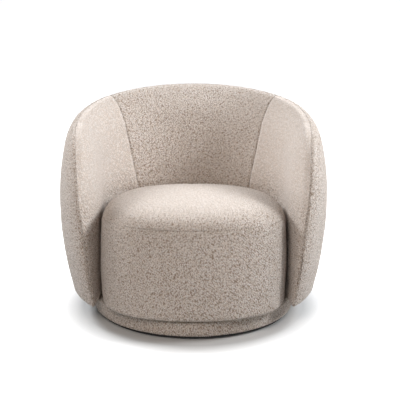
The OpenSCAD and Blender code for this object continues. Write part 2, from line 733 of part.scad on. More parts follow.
// Springs: wires that snake from the front rail to the rear rail and arch upwards
spring_place_shares = [-2, -1, 0, 1, 2];
spring_pitch_share = 0.33;
spring_pitch_x = (seat_half_w - frame_inset - seat_rail_t) * spring_pitch_share;
spring_loop_count = 6;
wire_side_count = 4;
wire_step_angle = 45;
wire_lead_angle = 22.5;
clip_size = [10, 14, 9];
clip_play = 1.2;
wire_z = seat_rail_z + clip_size[2] / 2;
function rail_middle_y(x, rear) =
    let (
        inset = frame_inset + seat_rail_t / 2,
        power = rear ? seat_rear_power : seat_front_power,
        reach = (rear ? seat_rear_l : -seat_front_l) + (rear ? -inset : inset)
    )
    seat_mid_y + reach * pow(1 - pow(abs(x) / (seat_half_w - inset), power), 1 / power);
function wire_point(x, phase) =
    let (
        front = rail_middle_y(x, false),
        rear = rail_middle_y(x, true),
        pitch = (rear - front) / spring_loop_count,
        along = clamp(phase / (full_turn * spring_loop_count), 0, 1)
    )
    [x + spring_sweep * sin(phase),
     front + pitch * phase / full_turn - pitch / (4 * PI) * sin(2 * phase),
     wire_z + spring_rise * sin(180 * along)];
module spring(x) {
    phases = [for (p = [-wire_lead_angle:wire_step_angle:full_turn * spring_loop_count + wire_lead_angle]) p];
    centres = [for (p = phases) wire_point(x, p)];
    m = len(centres);
    last = (m - 1) * wire_side_count;
    rings = [for (i = [0:m - 1])
        let (
            run = centres[min(i + 1, m - 1)] - centres[max(i - 1, 0)],
            side = [-run[1], run[0], 0] / norm([run[0], run[1]])
        )
        [for (k = [0:wire_side_count - 1])
            let (a = full_turn * k / wire_side_count)
            centres[i] + wire_d / 2 * (side * cos(a) + [0, 0, 1] * sin(a))]];
    polyhedron(
        points = flat_list(rings),
        faces = concat(
            flat_list([for (i = [0:m - 2], k = [0:wire_side_count - 1])
                let (l = (k + 1) % wire_side_count)
                two_triangles((i + 1) * wire_side_count + k, (i + 1) * wire_side_count + l, i * wire_side_count + l, i * wire_side_count + k)]),
            [for (k = [1:wire_side_count - 2]) [0, k, k + 1]],
            [for (k = [1:wire_side_count - 2]) [last, last + k + 1, last + k]]
        )
    );
}
module seat_springs() { color(steel) for (place = spring_place_shares) spring(place * spring_pitch_x); }
module spring_clips() {
    color("dimgray") for (place = spring_place_shares, rear = [false, true])
        translate([place * spring_pitch_x, rail_middle_y(place * spring_pitch_x, rear), seat_rail_z]) difference() {
            translate([-clip_size[0] / 2, -clip_size[1] / 2, 0]) cube(clip_size);
            translate([-clip_size[0] / 2 - cut, 0, clip_size[2] / 2]) rotate([0, quarter_turn, 0])
                cylinder(d = wire_d + clip_play * 2, h = clip_size[0] + cut * 2);
        }
}
felt_z = wire_z + wire_d / 2 + spring_rise + layer_gap;
module spring_felt() {
    color("gray") translate([0, 0, felt_z]) linear_extrude(min(felt_t, foam_z - layer_gap - felt_z))
        seat_outline(frame_inset + layer_gap);
}

// Plinth
plinth_r = shell_r - plinth_inset;
plinth_eye_r = plate_r + plinth_eye_gap;
base_board_r = plinth_r - base_recess;
base_top_z = floor_pad_t + base_board_t;
plinth_core_r = plinth_r - cover_t - layer_gap - plinth_pad_t - layer_gap;
race_floor = 1.25;
lower_plate_z = deck_z - plate_t * 2 - ball_d - race_floor * 2;
plinth_top_z = plinth_z - cover_t - layer_gap - plinth_pad_t / 2;
block_size = [60, 24];
block_count = 6;
floor_pad_margin = 13;
pad_r = base_board_r - floor_pad_margin;

module floor_pad() { color(black) cylinder(r = pad_r, h = floor_pad_t); }
module base_board() { color(black) translate([0, 0, floor_pad_t]) cylinder(r = base_board_r, h = base_board_t, $fn = 144); }
module plinth_ring() {
    color(plywood) translate([0, 0, base_top_z]) difference() {
        cylinder(r = plinth_core_r, h = lower_plate_z - base_top_z);
        translate([0, 0, -cut]) cylinder(r = plinth_core_r - plinth_ring_t, h = lower_plate_z - base_top_z + cut * 2);
    }
}
module plinth_blocks() {
    color("burlywood") for (i = [0:block_count - 1]) rotate([0, 0, full_turn * i / block_count])
        translate([-block_size[0] / 2, plinth_core_r - plinth_ring_t - block_size[1] - block_room, base_top_z])
            cube([block_size[0], block_size[1], lower_plate_z - plinth_top_t - base_top_z]);
}
block_room = 3;
module plinth_top_board() {
    color(plywood) translate([0, 0, lower_plate_z - plinth_top_t]) difference() {
        cylinder(r = plinth_core_r - plinth_ring_t - layer_gap, h = plinth_top_t);
        at_bolts(bolt_circle_r) translate([0, 0, -cut]) cylinder(d = lower_screw_d + screw_play * 2, h = plinth_top_t + cut * 2);
        translate([0, 0, -cut]) cylinder(d = pin_d + screw_play * 2, h = plinth_top_t + cut * 2);
    }
}
module plinth_padding() {
    outer = plinth_r - cover_t - layer_gap;
    high = plinth_z - cover_t - layer_gap;
    round_r = plinth_edge_r - cover_t;
    color(foam) rotate_extrude($fn = 144) difference() {
        edge_profile(outer, base_top_z + cover_t + layer_gap, high, round_r, plinth_eye_r + cover_t);
        translate([0, base_top_z]) square([plinth_core_r + layer_gap, lower_plate_z + layer_gap - base_top_z]);
    }
}
module plinth_cover() {
    color(cloth) rotate_extrude($fn = 144) difference() {
        edge_profile(plinth_r, base_top_z, plinth_z, plinth_edge_r, plinth_eye_r);
        edge_profile(plinth_r - cover_t, base_top_z + cover_t, plinth_z - cover_t, plinth_edge_r - cover_t, plinth_eye_r - cut);
        translate([plinth_eye_r - cut, base_top_z - cut]) square([plinth_core_r + cut - plinth_eye_r, cover_t + cut * 2]);
        translate([plinth_eye_r - cut, base_top_z - cut])
            square([cut * 2 + cover_t, plinth_z - cover_t + cut - base_top_z]);
    }
}
// Half section of a drum whose top outer edge is rounded
module edge_profile(outer, low, high, round_r, inner) {
    translate([inner, low]) square([outer - inner, high - round_r - low]);
    translate([inner, high - round_r]) square([outer - round_r - inner, round_r]);
    translate([outer - round_r, high - round_r]) circle(r = round_r);
}

// Bearing: two pressed plates with grooved races, a caged ring of balls and a king pin
ball_z = lower_plate_z + plate_t + race_floor + ball_d / 2;
upper_plate_z = deck_z - plate_t;
race_gap = cage_t + ball_play * 4;
pin_head_r = pin_d;
pin_head_t = 5;
pin_flange_t = 3;
lower_screw_d = 6;
lower_screw_bite = 12;
module at_bolts(radius) { for (i = [0:3]) rotate([0, 0, 45 + 90 * i]) translate([radius, 0, 0]) children(); }

// Half section of a plate with its race; the race stands up from the plate by its height
module plate_profile(hole_r, race_h) {
    translate([hole_r, 0]) square([plate_r - hole_r, plate_t]);
    translate([ball_circle_r - race_w / 2, 0]) difference() {
        square([race_w, plate_t + race_h]);
        translate([race_w / 2, plate_t + race_floor + ball_d / 2]) circle(r = ball_d / 2 + ball_play);
    }
}
race_h = race_floor + ball_d / 2 - race_gap / 2;
module lower_swivel_plate() {
    color(steel) translate([0, 0, lower_plate_z]) difference() {
        rotate_extrude($fn = 144) plate_profile(pin_d / 2 + screw_play, race_h);
        at_bolts(bolt_circle_r) translate([0, 0, -cut]) cylinder(d = lower_screw_d + screw_play * 2, h = plate_t + cut * 2);
    }
}
module upper_swivel_plate() {
    color(steel) translate([0, 0, deck_z]) mirror([0, 0, 1]) difference() {
        rotate_extrude($fn = 144) plate_profile(pin_d / 2 + pin_play, race_h);
        at_bolts(bolt_circle_r) translate([0, 0, -cut]) cylinder(d = bolt_d + screw_play * 2, h = plate_t + cut * 2);
    }
}
module king_pin() {
    head_z = deck_z + layer_gap;
    color(steel) {
        translate([0, 0, lower_plate_z - plinth_top_t]) cylinder(d = pin_d, h = head_z + pin_head_t + plinth_top_t - lower_plate_z);
        translate([0, 0, head_z]) cylinder(r = pin_head_r, h = pin_head_t);
        translate([0, 0, lower_plate_z - plinth_top_t - pin_flange_t]) cylinder(r = pin_head_r, h = pin_flange_t);
    }
}
module ball_cage() {
    color("goldenrod") translate([0, 0, ball_z - cage_t / 2]) difference() {
        cylinder(r = ball_circle_r + race_w / 2 - layer_gap, h = cage_t);
        translate([0, 0, -cut]) cylinder(r = ball_circle_r - race_w / 2 + layer_gap, h = cage_t + cut * 2);
        for (i = [0:ball_count - 1]) rotate([0, 0, full_turn * i / ball_count]) translate([ball_circle_r, 0, -cut])
            cylinder(d = ball_d + ball_play * 2, h = cage_t + cut * 2);
    }
}
module bearing_balls() {
    color("silver") for (i = [0:ball_count - 1]) rotate([0, 0, full_turn * i / ball_count])
        translate([ball_circle_r, 0, ball_z]) sphere(d = ball_d);
}
module lower_plate_screws() {
    color(steel) at_bolts(bolt_circle_r) {
        translate([0, 0, lower_plate_z + plate_t]) cylinder(d = screw_head_d, h = screw_head_t);
        translate([0, 0, lower_plate_z - lower_screw_bite]) cylinder(d = lower_screw_d, h = lower_screw_bite + plate_t + cut);
    }
}
bolt_head_share = 1.6;
tee_barrel_d = 11;
tee_flange_d = 19;
tee_flange_t = 1.5;
module upper_plate_bolts() {
    color(steel) at_bolts(bolt_circle_r) {
        translate([0, 0, upper_plate_z - screw_head_t]) cylinder(d = bolt_d * bolt_head_share, h = screw_head_t);
        translate([0, 0, upper_plate_z - cut]) cylinder(d = bolt_d, h = plate_t + deck_t + cut);
    }
}
module tee_nuts() {
    color("darkgray") at_bolts(bolt_circle_r) difference() {
        union() {
            translate([0, 0, deck_z + layer_gap]) cylinder(d = tee_barrel_d, h = deck_t - layer_gap);
            translate([0, 0, deck_top_z]) cylinder(d = tee_flange_d, h = tee_flange_t);
        }
        translate([0, 0, deck_z - cut]) cylinder(d = bolt_d + screw_play, h = deck_t + tee_flange_t + cut * 2);
    }
}

floor_pad();
base_board();
plinth_ring();
plinth_blocks();
plinth_top_board();
plinth_padding();
plinth_cover();
lower_swivel_plate();
lower_plate_screws();
king_pin();
ball_cage();
bearing_balls();
upper_swivel_plate();
upper_plate_bolts();
tee_nuts();
deck_board();
dust_cover();
deck_screws();
seat_front_rail();
seat_side_rails();
seat_rear_rail();
seat_corner_blocks();
seat_springs();
spring_clips();
spring_felt();
seat_foam();
seat_border_cover();
seat_top_cover();
shell_base_rail();
shell_middle_rail();
shell_top_rail();
lower_ribs();
upper_ribs();
arm_front_posts();
crest_formers();
outer_liner();
inner_liner();
outer_padding();
back_foam();
left_arm_foam();
right_arm_foam();
inside_back_cover();
left_arm_cover();
right_arm_cover();
outside_cover();
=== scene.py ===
"""Dresses the packed swivel tub chair.

The wrap-round shell, the seat and the plinth get covers of looped cloth with their seams, the frame inside gets its own
finishes, and a pale studio with a camera stands round the chair. Lengths are in metres, the front faces -Y, and plan
angles are counted from the middle of the back.
"""

import json
import math

import bpy
import numpy as np
from bpy.props import FloatProperty, FloatVectorProperty, PointerProperty
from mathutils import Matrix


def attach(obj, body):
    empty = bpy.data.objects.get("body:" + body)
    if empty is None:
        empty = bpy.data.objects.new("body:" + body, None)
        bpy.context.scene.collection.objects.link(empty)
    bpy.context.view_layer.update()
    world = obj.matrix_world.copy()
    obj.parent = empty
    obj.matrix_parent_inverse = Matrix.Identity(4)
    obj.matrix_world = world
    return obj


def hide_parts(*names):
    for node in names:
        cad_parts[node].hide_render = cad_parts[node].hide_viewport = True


bl_info = {
    "name": "Swivel Tub Chair",
    "version": (1, 0, 0),
    "blender": (4, 5, 0),
    "location": "View3D > Sidebar > Tub Chair",
    "description": "Covers, seams, finishes and studio for a round swivel chair",
    "category": "Object",
}

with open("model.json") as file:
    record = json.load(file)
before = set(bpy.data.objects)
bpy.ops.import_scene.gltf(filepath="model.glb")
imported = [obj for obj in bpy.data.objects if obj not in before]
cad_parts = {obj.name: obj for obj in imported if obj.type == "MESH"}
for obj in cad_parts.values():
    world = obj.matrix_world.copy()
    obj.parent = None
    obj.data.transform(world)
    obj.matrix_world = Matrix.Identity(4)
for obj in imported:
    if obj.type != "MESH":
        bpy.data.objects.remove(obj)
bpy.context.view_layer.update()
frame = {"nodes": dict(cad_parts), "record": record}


# Sizes and colours


def length(name, text, value, low=0):
    """A property in metres."""
    return FloatProperty(name=name, description=text, default=value, min=low, precision=4, unit="LENGTH")


def turn(name, text, degrees):
    """A property that is an angle, given here in degrees."""
    return FloatProperty(name=name, description=text, default=math.radians(degrees), unit="ROTATION")


def plain(name, text, value):
    """A property without a unit."""
    return FloatProperty(name=name, description=text, default=value, precision=3)


def colour(name, text, value):
    """A colour property, in linear light."""
    return FloatVectorProperty(name=name, description=text, default=value, size=3, min=0, max=1, subtype="COLOR")


class ShellSizes(bpy.types.PropertyGroup):
    """Sizes of the wrap-round back and arms."""

    width: length("Width", "Overall width over the arms", 0.842)
    back_crest: length("Back crest", "Height of the crest at the middle of the back", 0.668)
    arm_crest: length("Arm crest", "Height of the crest over the arms", 0.610)
    barrel_height: length("Bulge height", "Height at which the outside bulges most", 0.360)
    barrel_low: length("Lower curve", "Upright radius of the outside below the bulge", 1.110)
    barrel_high: length("Upper curve", "Upright radius of the outside above the bulge", 0.820)
    arm_angle: turn("Arm angle", "Plan angle to the front of each arm", 126.5)
    nose_height: length("Nose height", "Height of the foremost point of each arm", 0.078)
    hem_height: length("Hem height", "Height of the lower edge", 0.066)
    deck_clear: length("Deck clearance", "Height of the inside covers' lower edge over the deck", 0.090)
    rim_outer: length("Outer roll", "Rounding of the crest on its outer side", 0.050)
    rim_inner: length("Inner roll", "Rounding of the crest on its inner side", 0.095)
    rim_back: plain("Rim place, back", "Place of the rim seam between inside and outside at the back", 0.62)
    rim_nose: plain("Rim place, front", "Place of the rim seam between inside and outside at the arms' fronts", 0.80)
    rim_low: plain("Rim place, low", "Place of the rim seam at the foot of the arms' fronts", 0.65)
    low_roll: plain("Low roll", "Share of the inner roll that is left at the foot of the arms' fronts", 0.45)
    nose_roll: length("Nose roll", "Height in which the rim seam turns under the arms", 0.060)
    hem_outer: length("Outer hem roll", "Rounding of the lower edge on its outer side", 0.016)
    hem_inner: length("Inner hem roll", "Rounding of the lower edge on its inner side", 0.020)
    well_half: length("Well half width", "Half width between the arms at the seat", 0.289)
    well_back: length("Well reach", "Reach of the well behind the swivel axis", 0.178)
    lean_height: length("Lean height", "Height at which the inside back starts to lean", 0.365)
    back_lean: turn("Back lean", "Lean of the inside back", 16.7)
    lean_curve: length("Lean curve", "Radius of the curve of the inside back", 1.667)
    arm_flare: turn("Arm flare", "Outward slope of the inside arms", 3.4)
    seam_angle: turn("Seam angle", "Plan angle of the two upright inside seams", 52)
    cloth: length("Cloth", "Thickness of the cloth with its backing", 0.004)


class SeatSizes(bpy.types.PropertyGroup):
    """Sizes of the tight seat."""

    half_width: length("Half width", "Half width at the hem", 0.281)
    middle_y: length("Middle", "Y of the widest line", -0.135, -1)
    front: length("Front reach", "Reach of the seat in front of its middle", 0.203)
    rear: length("Rear reach", "Reach of the seat behind its middle", 0.302)
    swell: length("Side swell", "How far the sides swell out", 0.0055)
    shoulder: length("Shoulder", "Height at which the sides turn into the crown", 0.312)
    crown: length("Crown", "Height of the crown", 0.397)
    foam_base: length("Foam base", "Height of the underside of the seat foam", 0.300)
    tilt: turn("Tilt", "Backward tilt of the seat top", 1.7)
    deck_edge: length("Deck edge", "Y of the deck's front shoulder", -0.0202, -1)


class PlinthSizes(bpy.types.PropertyGroup):
    """Sizes of the covered round plinth."""

    radius: length("Radius", "Radius with its cover", 0.320)
    base: length("Base", "Height of the cover's lower edge", 0.013)
    top: length("Top", "Height of the plinth's top", 0.060)
    edge: length("Edge rounding", "Rounding of the top edge", 0.009)
    eye: length("Eye radius", "Radius of the opening round the bearing", 0.205)


class ClothLook(bpy.types.PropertyGroup):
    """Colours and relief of the looped cloth."""

    yarn: colour("Yarn", "Colour of the raised loops", (0.735, 0.632, 0.555))
    yarn_pale: colour("Pale yarn", "Colour of the palest loops", (0.800, 0.762, 0.735))
    # Painted shade: the ground is darker and warmer than the yarn to stand for the shade in the hollows between the
    # loops
    shaded_ground: colour("Ground", "Colour between the loops", (0.260, 0.192, 0.140))
    loop_size: length("Loop size", "Width of the loops", 0.0027)
    loop_height: length("Loop height", "How far the loops stand up", 0.0022)
    loop_stretch: plain("Loop stretch", "How much longer than wide the loops are", 2.6)
    loop_lie: FloatVectorProperty(
        name="Loop lie",
        description="Turn of the direction in which the loops lie",
        default=[math.radians(v) for v in (14.4, -34.5, 0)],
        subtype="EULER",
    )
    nub_size: length("Nub size", "Spacing of the coarser nubs", 0.0095)
    nub_height: length("Nub height", "How far the coarser nubs stand up", 0.0004)
    # Partly real wear and partly painted light: the loops get flatter and paler on the upper inside arms and the seat's
    # crown, where the lamps fall on them most
    worn_and_lit: plain("Worn", "How flat the loops are on the arms and the seat, where hands and sitters press them", 0.5)
    slack_size: length("Slack size", "Width of the soft unevenness of the padding", 0.085)
    slack_height: length("Slack height", "Depth of the soft unevenness of the padding", 0.0012)
    seam_depth: length("Seam depth", "How far a seam is drawn in", 0.0024)
    seat_seam: plain("Seat seam", "Share of the seam depth that the seat's seam has", 0.3)
    seam_width: length("Seam width", "Half width of the valley along a seam", 0.0032)
    pucker: length("Pucker", "Depth of the small gathers beside a seam", 0.0010)
    stitch_pitch: length("Stitch pitch", "Distance from one stitch to the next", 0.0075)
    stitch_length: length("Stitch length", "Visible length of each stitch", 0.0048)
    thread: length("Thread", "Radius of the sewing thread", 0.0006)
    grid: length("Mesh spacing", "Distance between the points of a cover", 0.0042)


class StageSetup(bpy.types.PropertyGroup):
    """Camera and lights."""

    lens: plain("Lens", "Focal length in millimetres", 100)
    distance: length("Camera distance", "Level distance from the swivel axis", 3.404)
    height: length("Camera height", "Height of the camera", 1.283)
    azimuth: turn("Camera azimuth", "Turn of the camera round the chair", 0)
    pitch: turn("Camera pitch", "Angle below the horizon", 15.36)
    shift: plain("Camera shift", "Sideways shift of the frame", 0.01625)
    light: plain("Light", "Share of each lamp's power that is used", 1.0)
    sky: plain("Sky", "Strength of the even light from all round", 0.0)
    floor_lift: plain("Floor lift", "Brightness that the floor adds for the camera", 0.98)
    shadow_lift: plain("Shadow lift", "What is left of that brightness right under the chair", 0.02)
    shadow_start: length("Shadow start", "Distance from the axis at which the floor starts to brighten", 0.355)
    shadow_end: length("Shadow end", "Distance from the axis at which the floor is fully bright", 0.48)


# Shape of the shell and the seat

# Powers that set how square the curves are
CREST_FALL_POWER = 0.8
ARM_SIDE_POWER, ARM_TOP_POWER = 9.5, 2.6
FOOT_SIDE_POWER, FOOT_LOW_POWER = 60, 3
LOW_NOSE_POWER = 12
WELL_POWER = 2.1
SEAT_REAR_POWER, SEAT_FRONT_POWER = 2.7, 2.3
CROWN_PLAN_POWER, CROWN_RISE_POWER = 3.5, 2.8

# Plan angles, in degrees, between which the inside covers' lower edge drops from the deck to the hem
DROP_START, DROP_SPAN = 97.2, 6.8

# Least sizes that keep the sheets from folding on themselves
LEAST_HEM, LEAST_REACH, FULLEST_FALL, NEARLY_ALL = 0.003, 0.0002, 0.97, 0.9997

# Drop of the seat's lower edge in front of the deck, and how the lowest part of its side draws in
DECK_GAP, DECK_DROP = 0.002, 0.024
HEM_DRAW, HEM_SHARE = 0.035, 0.05


def clamp(x, low, high):
    """The values, held between two bounds."""
    return np.minimum(np.maximum(x, low), high)


def ease(x):
    """A soft step from 0 to 1."""
    s = clamp(x, 0, 1)
    return s * s * (3 - 2 * s)


def roundover(x):
    """A quarter circle from 0 to 1, steep at its start."""
    s = 1 - clamp(x, 0, 1)
    return np.sqrt(np.maximum(1 - s * s, 0))


def barrel_radius(s, z):
    """Radius of the shell's outside at a height."""
    curve = np.where(z < s.barrel_height, s.barrel_low, s.barrel_high)
    return s.width / 2 - (z - s.barrel_height) ** 2 / (2 * curve)


def well_radius(s, angle, z, grow):
    """Radius of the shell's inside at a plan angle and a height."""
    up = np.maximum(z - s.lean_height, 0)
    reach = s.well_back + math.tan(s.back_lean) * up + up * up / (2 * s.lean_curve) + grow
    half = s.well_half + math.tan(s.arm_flare) * up + grow
    across, along = np.abs(np.sin(angle)) / half, np.maximum(np.cos(angle), 0) / reach
    return (across**WELL_POWER + along**WELL_POWER) ** (-1 / WELL_POWER)


def shell_sheet(s, outer, angle, share, depth):
    """Points of one side of the shell at plan angles (radians) and height shares, and their distance from the rim."""
    angle, share = np.asarray(angle)[:, None], np.asarray(share)[None, :]
    a = np.abs(angle)
    end = s.arm_angle - depth / (s.width / 2)
    behind = np.maximum(np.cos(np.minimum(a, np.pi / 2)), 0)
    crest = s.arm_crest + (s.back_crest - s.arm_crest) * behind**CREST_FALL_POWER
    drop = 1.0 if outer else ease((np.degrees(a) - DROP_START) / DROP_SPAN)
    bottom = s.deck_clear + depth + (s.hem_height - s.deck_clear) * drop
    along = np.minimum(a / end, 1)
    top = crest - depth - s.nose_height
    rim = s.nose_height + top * (1 - along**ARM_SIDE_POWER) ** (1 / ARM_TOP_POWER)
    low = s.nose_height - (s.nose_height - bottom) * (1 - along**FOOT_SIDE_POWER) ** (1 / FOOT_LOW_POWER)
    z = low + (rim - low) * share
    rise = clamp((z - s.nose_height) / top, 0, 1)
    fall = clamp((s.nose_height - z) / (s.nose_height - bottom), 0, FULLEST_FALL)
    upper = (1 - rise**ARM_TOP_POWER) ** (1 / ARM_SIDE_POWER)
    lower = (1 - fall**FOOT_LOW_POWER) ** (1 / FOOT_SIDE_POWER)
    outline = end * np.where(z > s.nose_height, upper, lower)
    outer_r, inner_r = barrel_radius(s, z) - depth, well_radius(s, angle, z, depth)
    wall = outer_r - inner_r
    low_nose = clamp(1 - (z - s.hem_height) / s.nose_roll, 0, 1) ** 2 * along**LOW_NOSE_POWER
    place = s.rim_back + (s.rim_nose - s.rim_back) * along**2 - (s.rim_nose - s.rim_low) * low_nose
    middle = inner_r + wall * place
    ahead = np.maximum(outline - a, 0) * middle
    above, below = np.maximum(rim - z, 0), np.maximum(z - low, 0)
    to_rim = ahead * above / np.maximum(np.hypot(ahead, above), 1e-9)
    full = wall * ((1 - place) if outer else place)
    hem = np.minimum(np.maximum((s.hem_outer if outer else s.hem_inner) - depth, LEAST_HEM), full)
    tuck = hem / full * (1 - roundover(below / hem))
    roll = s.rim_outer if outer else s.rim_inner * (1 - (1 - s.low_roll) * low_nose)
    swell = roundover(to_rim / roll)
    reach = np.maximum(full * swell * (1 - tuck), LEAST_REACH)
    r = middle + reach if outer else middle - reach
    return np.stack([r * np.sin(angle), r * np.cos(angle), z], -1), to_rim


def shell_angles(s, depth, start, steps):
    """Plan angles from an inside seam to just short of the arm's front, closer together towards the front."""
    end = (s.arm_angle - depth / (s.width / 2)) * NEARLY_ALL
    t = np.linspace(0, 1, steps + 1)
    return start + (end - start) * np.sin(t * np.pi / 2)


def whole_rim(s, depth, arm, middle):
    """Plan angles from one arm's front to the other's, with so many steps on an arm and points in the middle."""
    forward = shell_angles(s, depth, s.seam_angle, arm)
    return np.concatenate([-forward[:0:-1], np.linspace(-s.seam_angle, s.seam_angle, middle), forward[1:]])


def seat_outline(s, turns, inset):
    """Distance of the seat's outline from its middle at turns round it."""
    rear = np.cos(turns) > 0
    power = np.where(rear, SEAT_REAR_POWER, SEAT_FRONT_POWER)
    along = np.abs(np.cos(turns)) / (np.where(rear, s.rear, s.front) - inset)
    across = np.abs(np.sin(turns)) / (s.half_width - inset)
    return (across**power + along**power) ** (-1 / power)


def seat_points(s, turns, r, z):
    """Points at turns, distances and heights round the seat's middle, moved to its backward tilt."""
    x, y = r * np.sin(turns), s.middle_y + r * np.cos(turns)
    share = clamp((z - s.foam_base) / (s.shoulder - s.foam_base) / 2, 0, 1)
    return np.stack([x, y, z - math.tan(s.tilt) * (y - s.middle_y) * share], -1)


def seat_side(s, shell, turns, share, depth):
    """Points of the seat's side at turns round its middle and height shares from the hem to the shoulder."""
    turns, share = np.asarray(turns)[:, None], np.asarray(share)[None, :]
    y_hem = s.middle_y + seat_outline(s, turns, depth) * np.cos(turns)
    drop = ease((s.deck_edge - DECK_GAP - y_hem) / DECK_DROP)
    low = shell.deck_clear + depth + (shell.hem_height - shell.deck_clear) * drop
    z = low + (s.shoulder - low) * share
    out = s.swell * (1 - (2 * share - 1) ** 2)
    r = seat_outline(s, turns, depth - out) * (1 - HEM_DRAW + HEM_DRAW * roundover(share / HEM_SHARE))
    return seat_points(s, turns, r, z)


def seat_crown(s, turns, climb, depth):
    """Points of the seat's crown at turns round its middle and climbs from the shoulder (0) to the middle (pi / 2)."""
    turns, climb = np.asarray(turns)[:, None], np.asarray(climb)[None, :]
    r = seat_outline(s, turns, depth) * np.maximum(np.cos(climb), 0) ** (2 / CROWN_PLAN_POWER)
    z = s.shoulder + (s.crown - depth - s.shoulder) * np.sin(climb) ** (2 / CROWN_RISE_POWER) + 0 * turns
    return seat_points(s, turns, r, z)


def grid_normals(points, wrap, outward):
    """Unit normals of a grid of points, pointing the way that outward does at its middle row."""
    padded = np.concatenate([points[-1:], points, points[:1]]) if wrap else points
    du, dv = np.gradient(padded, axis=0), np.gradient(padded, axis=1)
    n = np.cross(du, dv)
    n = n[1:-1] if wrap else n
    n /= np.maximum(np.linalg.norm(n, axis=-1, keepdims=True), 1e-12)
    j = points.shape[1] // 2
    return n if (n[:, j] * outward(points[:, j])).sum() > 0 else -n


def away(points):
    """Direction away from the swivel axis."""
    return points * np.array([1, 1, 0])


def inwards(points):
    """Direction towards the swivel axis."""
    return -away(points)


def upwards(points):
    """Direction straight up."""
    return np.array([0, 0, 1.0]) + 0 * points


def along_rim(grid):
    """Length along the last row of a grid of points, as a column."""
    return np.cumsum(np.r_[0, np.linalg.norm(np.diff(grid[:, -1], axis=0), axis=1)])[:, None]


# Lengths and starts of the waves that make up the gathers, their mean and swing, and how far they reach in seam widths
RIPPLES = ((0.017, 0.3), (0.023, 1.9), (0.031, 4.0), (0.053, 2.2))
GATHER_MEAN, GATHER_SWING, GATHER_REACH = 0.6, 0.3, 4


def seam_valley(c, distance, along):
    """How deep the cloth is drawn in at a distance from a seam, with gathers along it."""
    ripple = sum(np.sin(along / wave * 2 * np.pi + start) for wave, start in RIPPLES)
    gathers = c.pucker * (GATHER_MEAN + GATHER_SWING * ripple) * np.exp(-distance / (GATHER_REACH * c.seam_width))
    return c.seam_depth * np.exp(-((distance / c.seam_width) ** 2)) + gathers


# Meshes


def zipper(dense, coarse):
    """Triangles between a dense row of points and a coarser one that has every k-th of them."""
    dense, coarse, tris = dense.tolist(), coarse.tolist(), []
    k = (len(dense) - 1) // (len(coarse) - 1)
    for i in range(len(coarse) - 1):
        run = dense[i * k : i * k + k + 1]
        half = k // 2
        tris += [(coarse[i], run[q + 1], run[q]) for q in range(half)]
        tris.append((coarse[i], coarse[i + 1], run[half]))
        tris += [(coarse[i + 1], run[q + 1], run[q]) for q in range(half, k)]
    return tris


def panel_mesh(name, face, back, wrap=False, poles=None):
    """A closed cover: a dense face grid, a coarser back grid behind it, and a narrow wall round them."""
    front = np.arange(face[..., 0].size).reshape(face.shape[:2])
    rear = np.arange(back[..., 0].size).reshape(back.shape[:2]) + front.size
    tip = front.size + rear.size
    if wrap:
        front, rear = np.concatenate([front, front[:1]]), np.concatenate([rear, rear[:1]])
    quads = lambda grid: np.stack([grid[:-1, :-1], grid[1:, :-1], grid[1:, 1:], grid[:-1, 1:]], -1).reshape(-1, 4)
    faces = quads(front).tolist() + quads(rear)[:, ::-1].tolist() + zipper(front[:, 0], rear[:, 0])
    if poles is None:
        faces += zipper(front[::-1, -1], rear[::-1, -1])
    else:
        faces += [(a, b, tip) for a, b in zip(front[:-1, -1].tolist(), front[1:, -1].tolist())]
        faces += [(b, a, tip + 1) for a, b in zip(rear[:-1, -1].tolist(), rear[1:, -1].tolist())]
    if not wrap:
        faces += zipper(front[0, ::-1], rear[0, ::-1]) + zipper(front[-1], rear[-1])
    points = np.concatenate([face.reshape(-1, 3), back.reshape(-1, 3), np.reshape(poles or [], (-1, 3))])
    corners = [points[fan.T] for fan in fans(faces)]
    volume = sum(np.einsum("ij,ij->i", a, np.cross(b, c)).sum() for a, b, c in corners)
    return mesh_object(name, points, faces if volume > 0 else [f[::-1] for f in faces])


def fans(faces):
    """Triangles that cover the faces, as arrays of point numbers."""
    three = np.array([f for f in faces if len(f) == 3], int).reshape(-1, 3)
    four = np.array([f for f in faces if len(f) == 4], int).reshape(-1, 4)
    return [three, four[:, [0, 1, 2]], four[:, [0, 2, 3]]]


def add_object(name, data):
    """A new object in the scene."""
    obj = bpy.data.objects.new(name, data)
    bpy.context.scene.collection.objects.link(obj)
    return obj


def mesh_object(name, points, faces, edges=()):
    """A smooth mesh object in the scene."""
    mesh = bpy.data.meshes.new(name)
    mesh.from_pydata([tuple(p) for p in points], edges, [tuple(f) for f in faces])
    mesh.polygons.foreach_set("use_smooth", [True] * len(mesh.polygons))
    mesh.update()
    return add_object(name, mesh)


def round_shares(steps):
    """Shares from 0 to 1 that crowd together at both ends."""
    return (1 - np.cos(np.linspace(0, np.pi, steps + 1))) / 2


# Geometry Nodes


def once(kind, name):
    """Makes the data-block of this kind and name only where the file doesn't hold it yet."""
    return lambda make: lambda: getattr(bpy.data, kind).get(name) or make(name)


def plug(socket, value):
    """Gives an input a value, or the output of another node."""
    value = value.outputs[0] if isinstance(value, bpy.types.Node) else value
    if isinstance(value, bpy.types.NodeSocket):
        socket.id_data.links.new(value, socket)
    else:
        socket.default_value = (*value[:3], 1) if socket.type == "RGBA" else value


def set_up(node, *slots, **values):
    """Fills a node's inputs in their order or by name (_ for each space); names in small letters are settings."""
    for label, value in values.items():
        if label.islower():
            setattr(node, label, value)
        else:
            plug(node.inputs[label.replace("_", " ")], value)
    for socket, value in zip(node.inputs, slots):
        plug(socket, value)
    return node


def make_node(tree, kind, *slots, **values):
    """A new node, set up with these inputs and settings."""
    return set_up(tree.nodes.new(kind), *slots, **values)


def calc(operation, a, b):
    """The result of a Math node on two values, at least one of which is an output."""
    tree = (b if isinstance(a, float) else a).id_data
    return make_node(tree, "ShaderNodeMath", a, b, operation=operation).outputs[0]


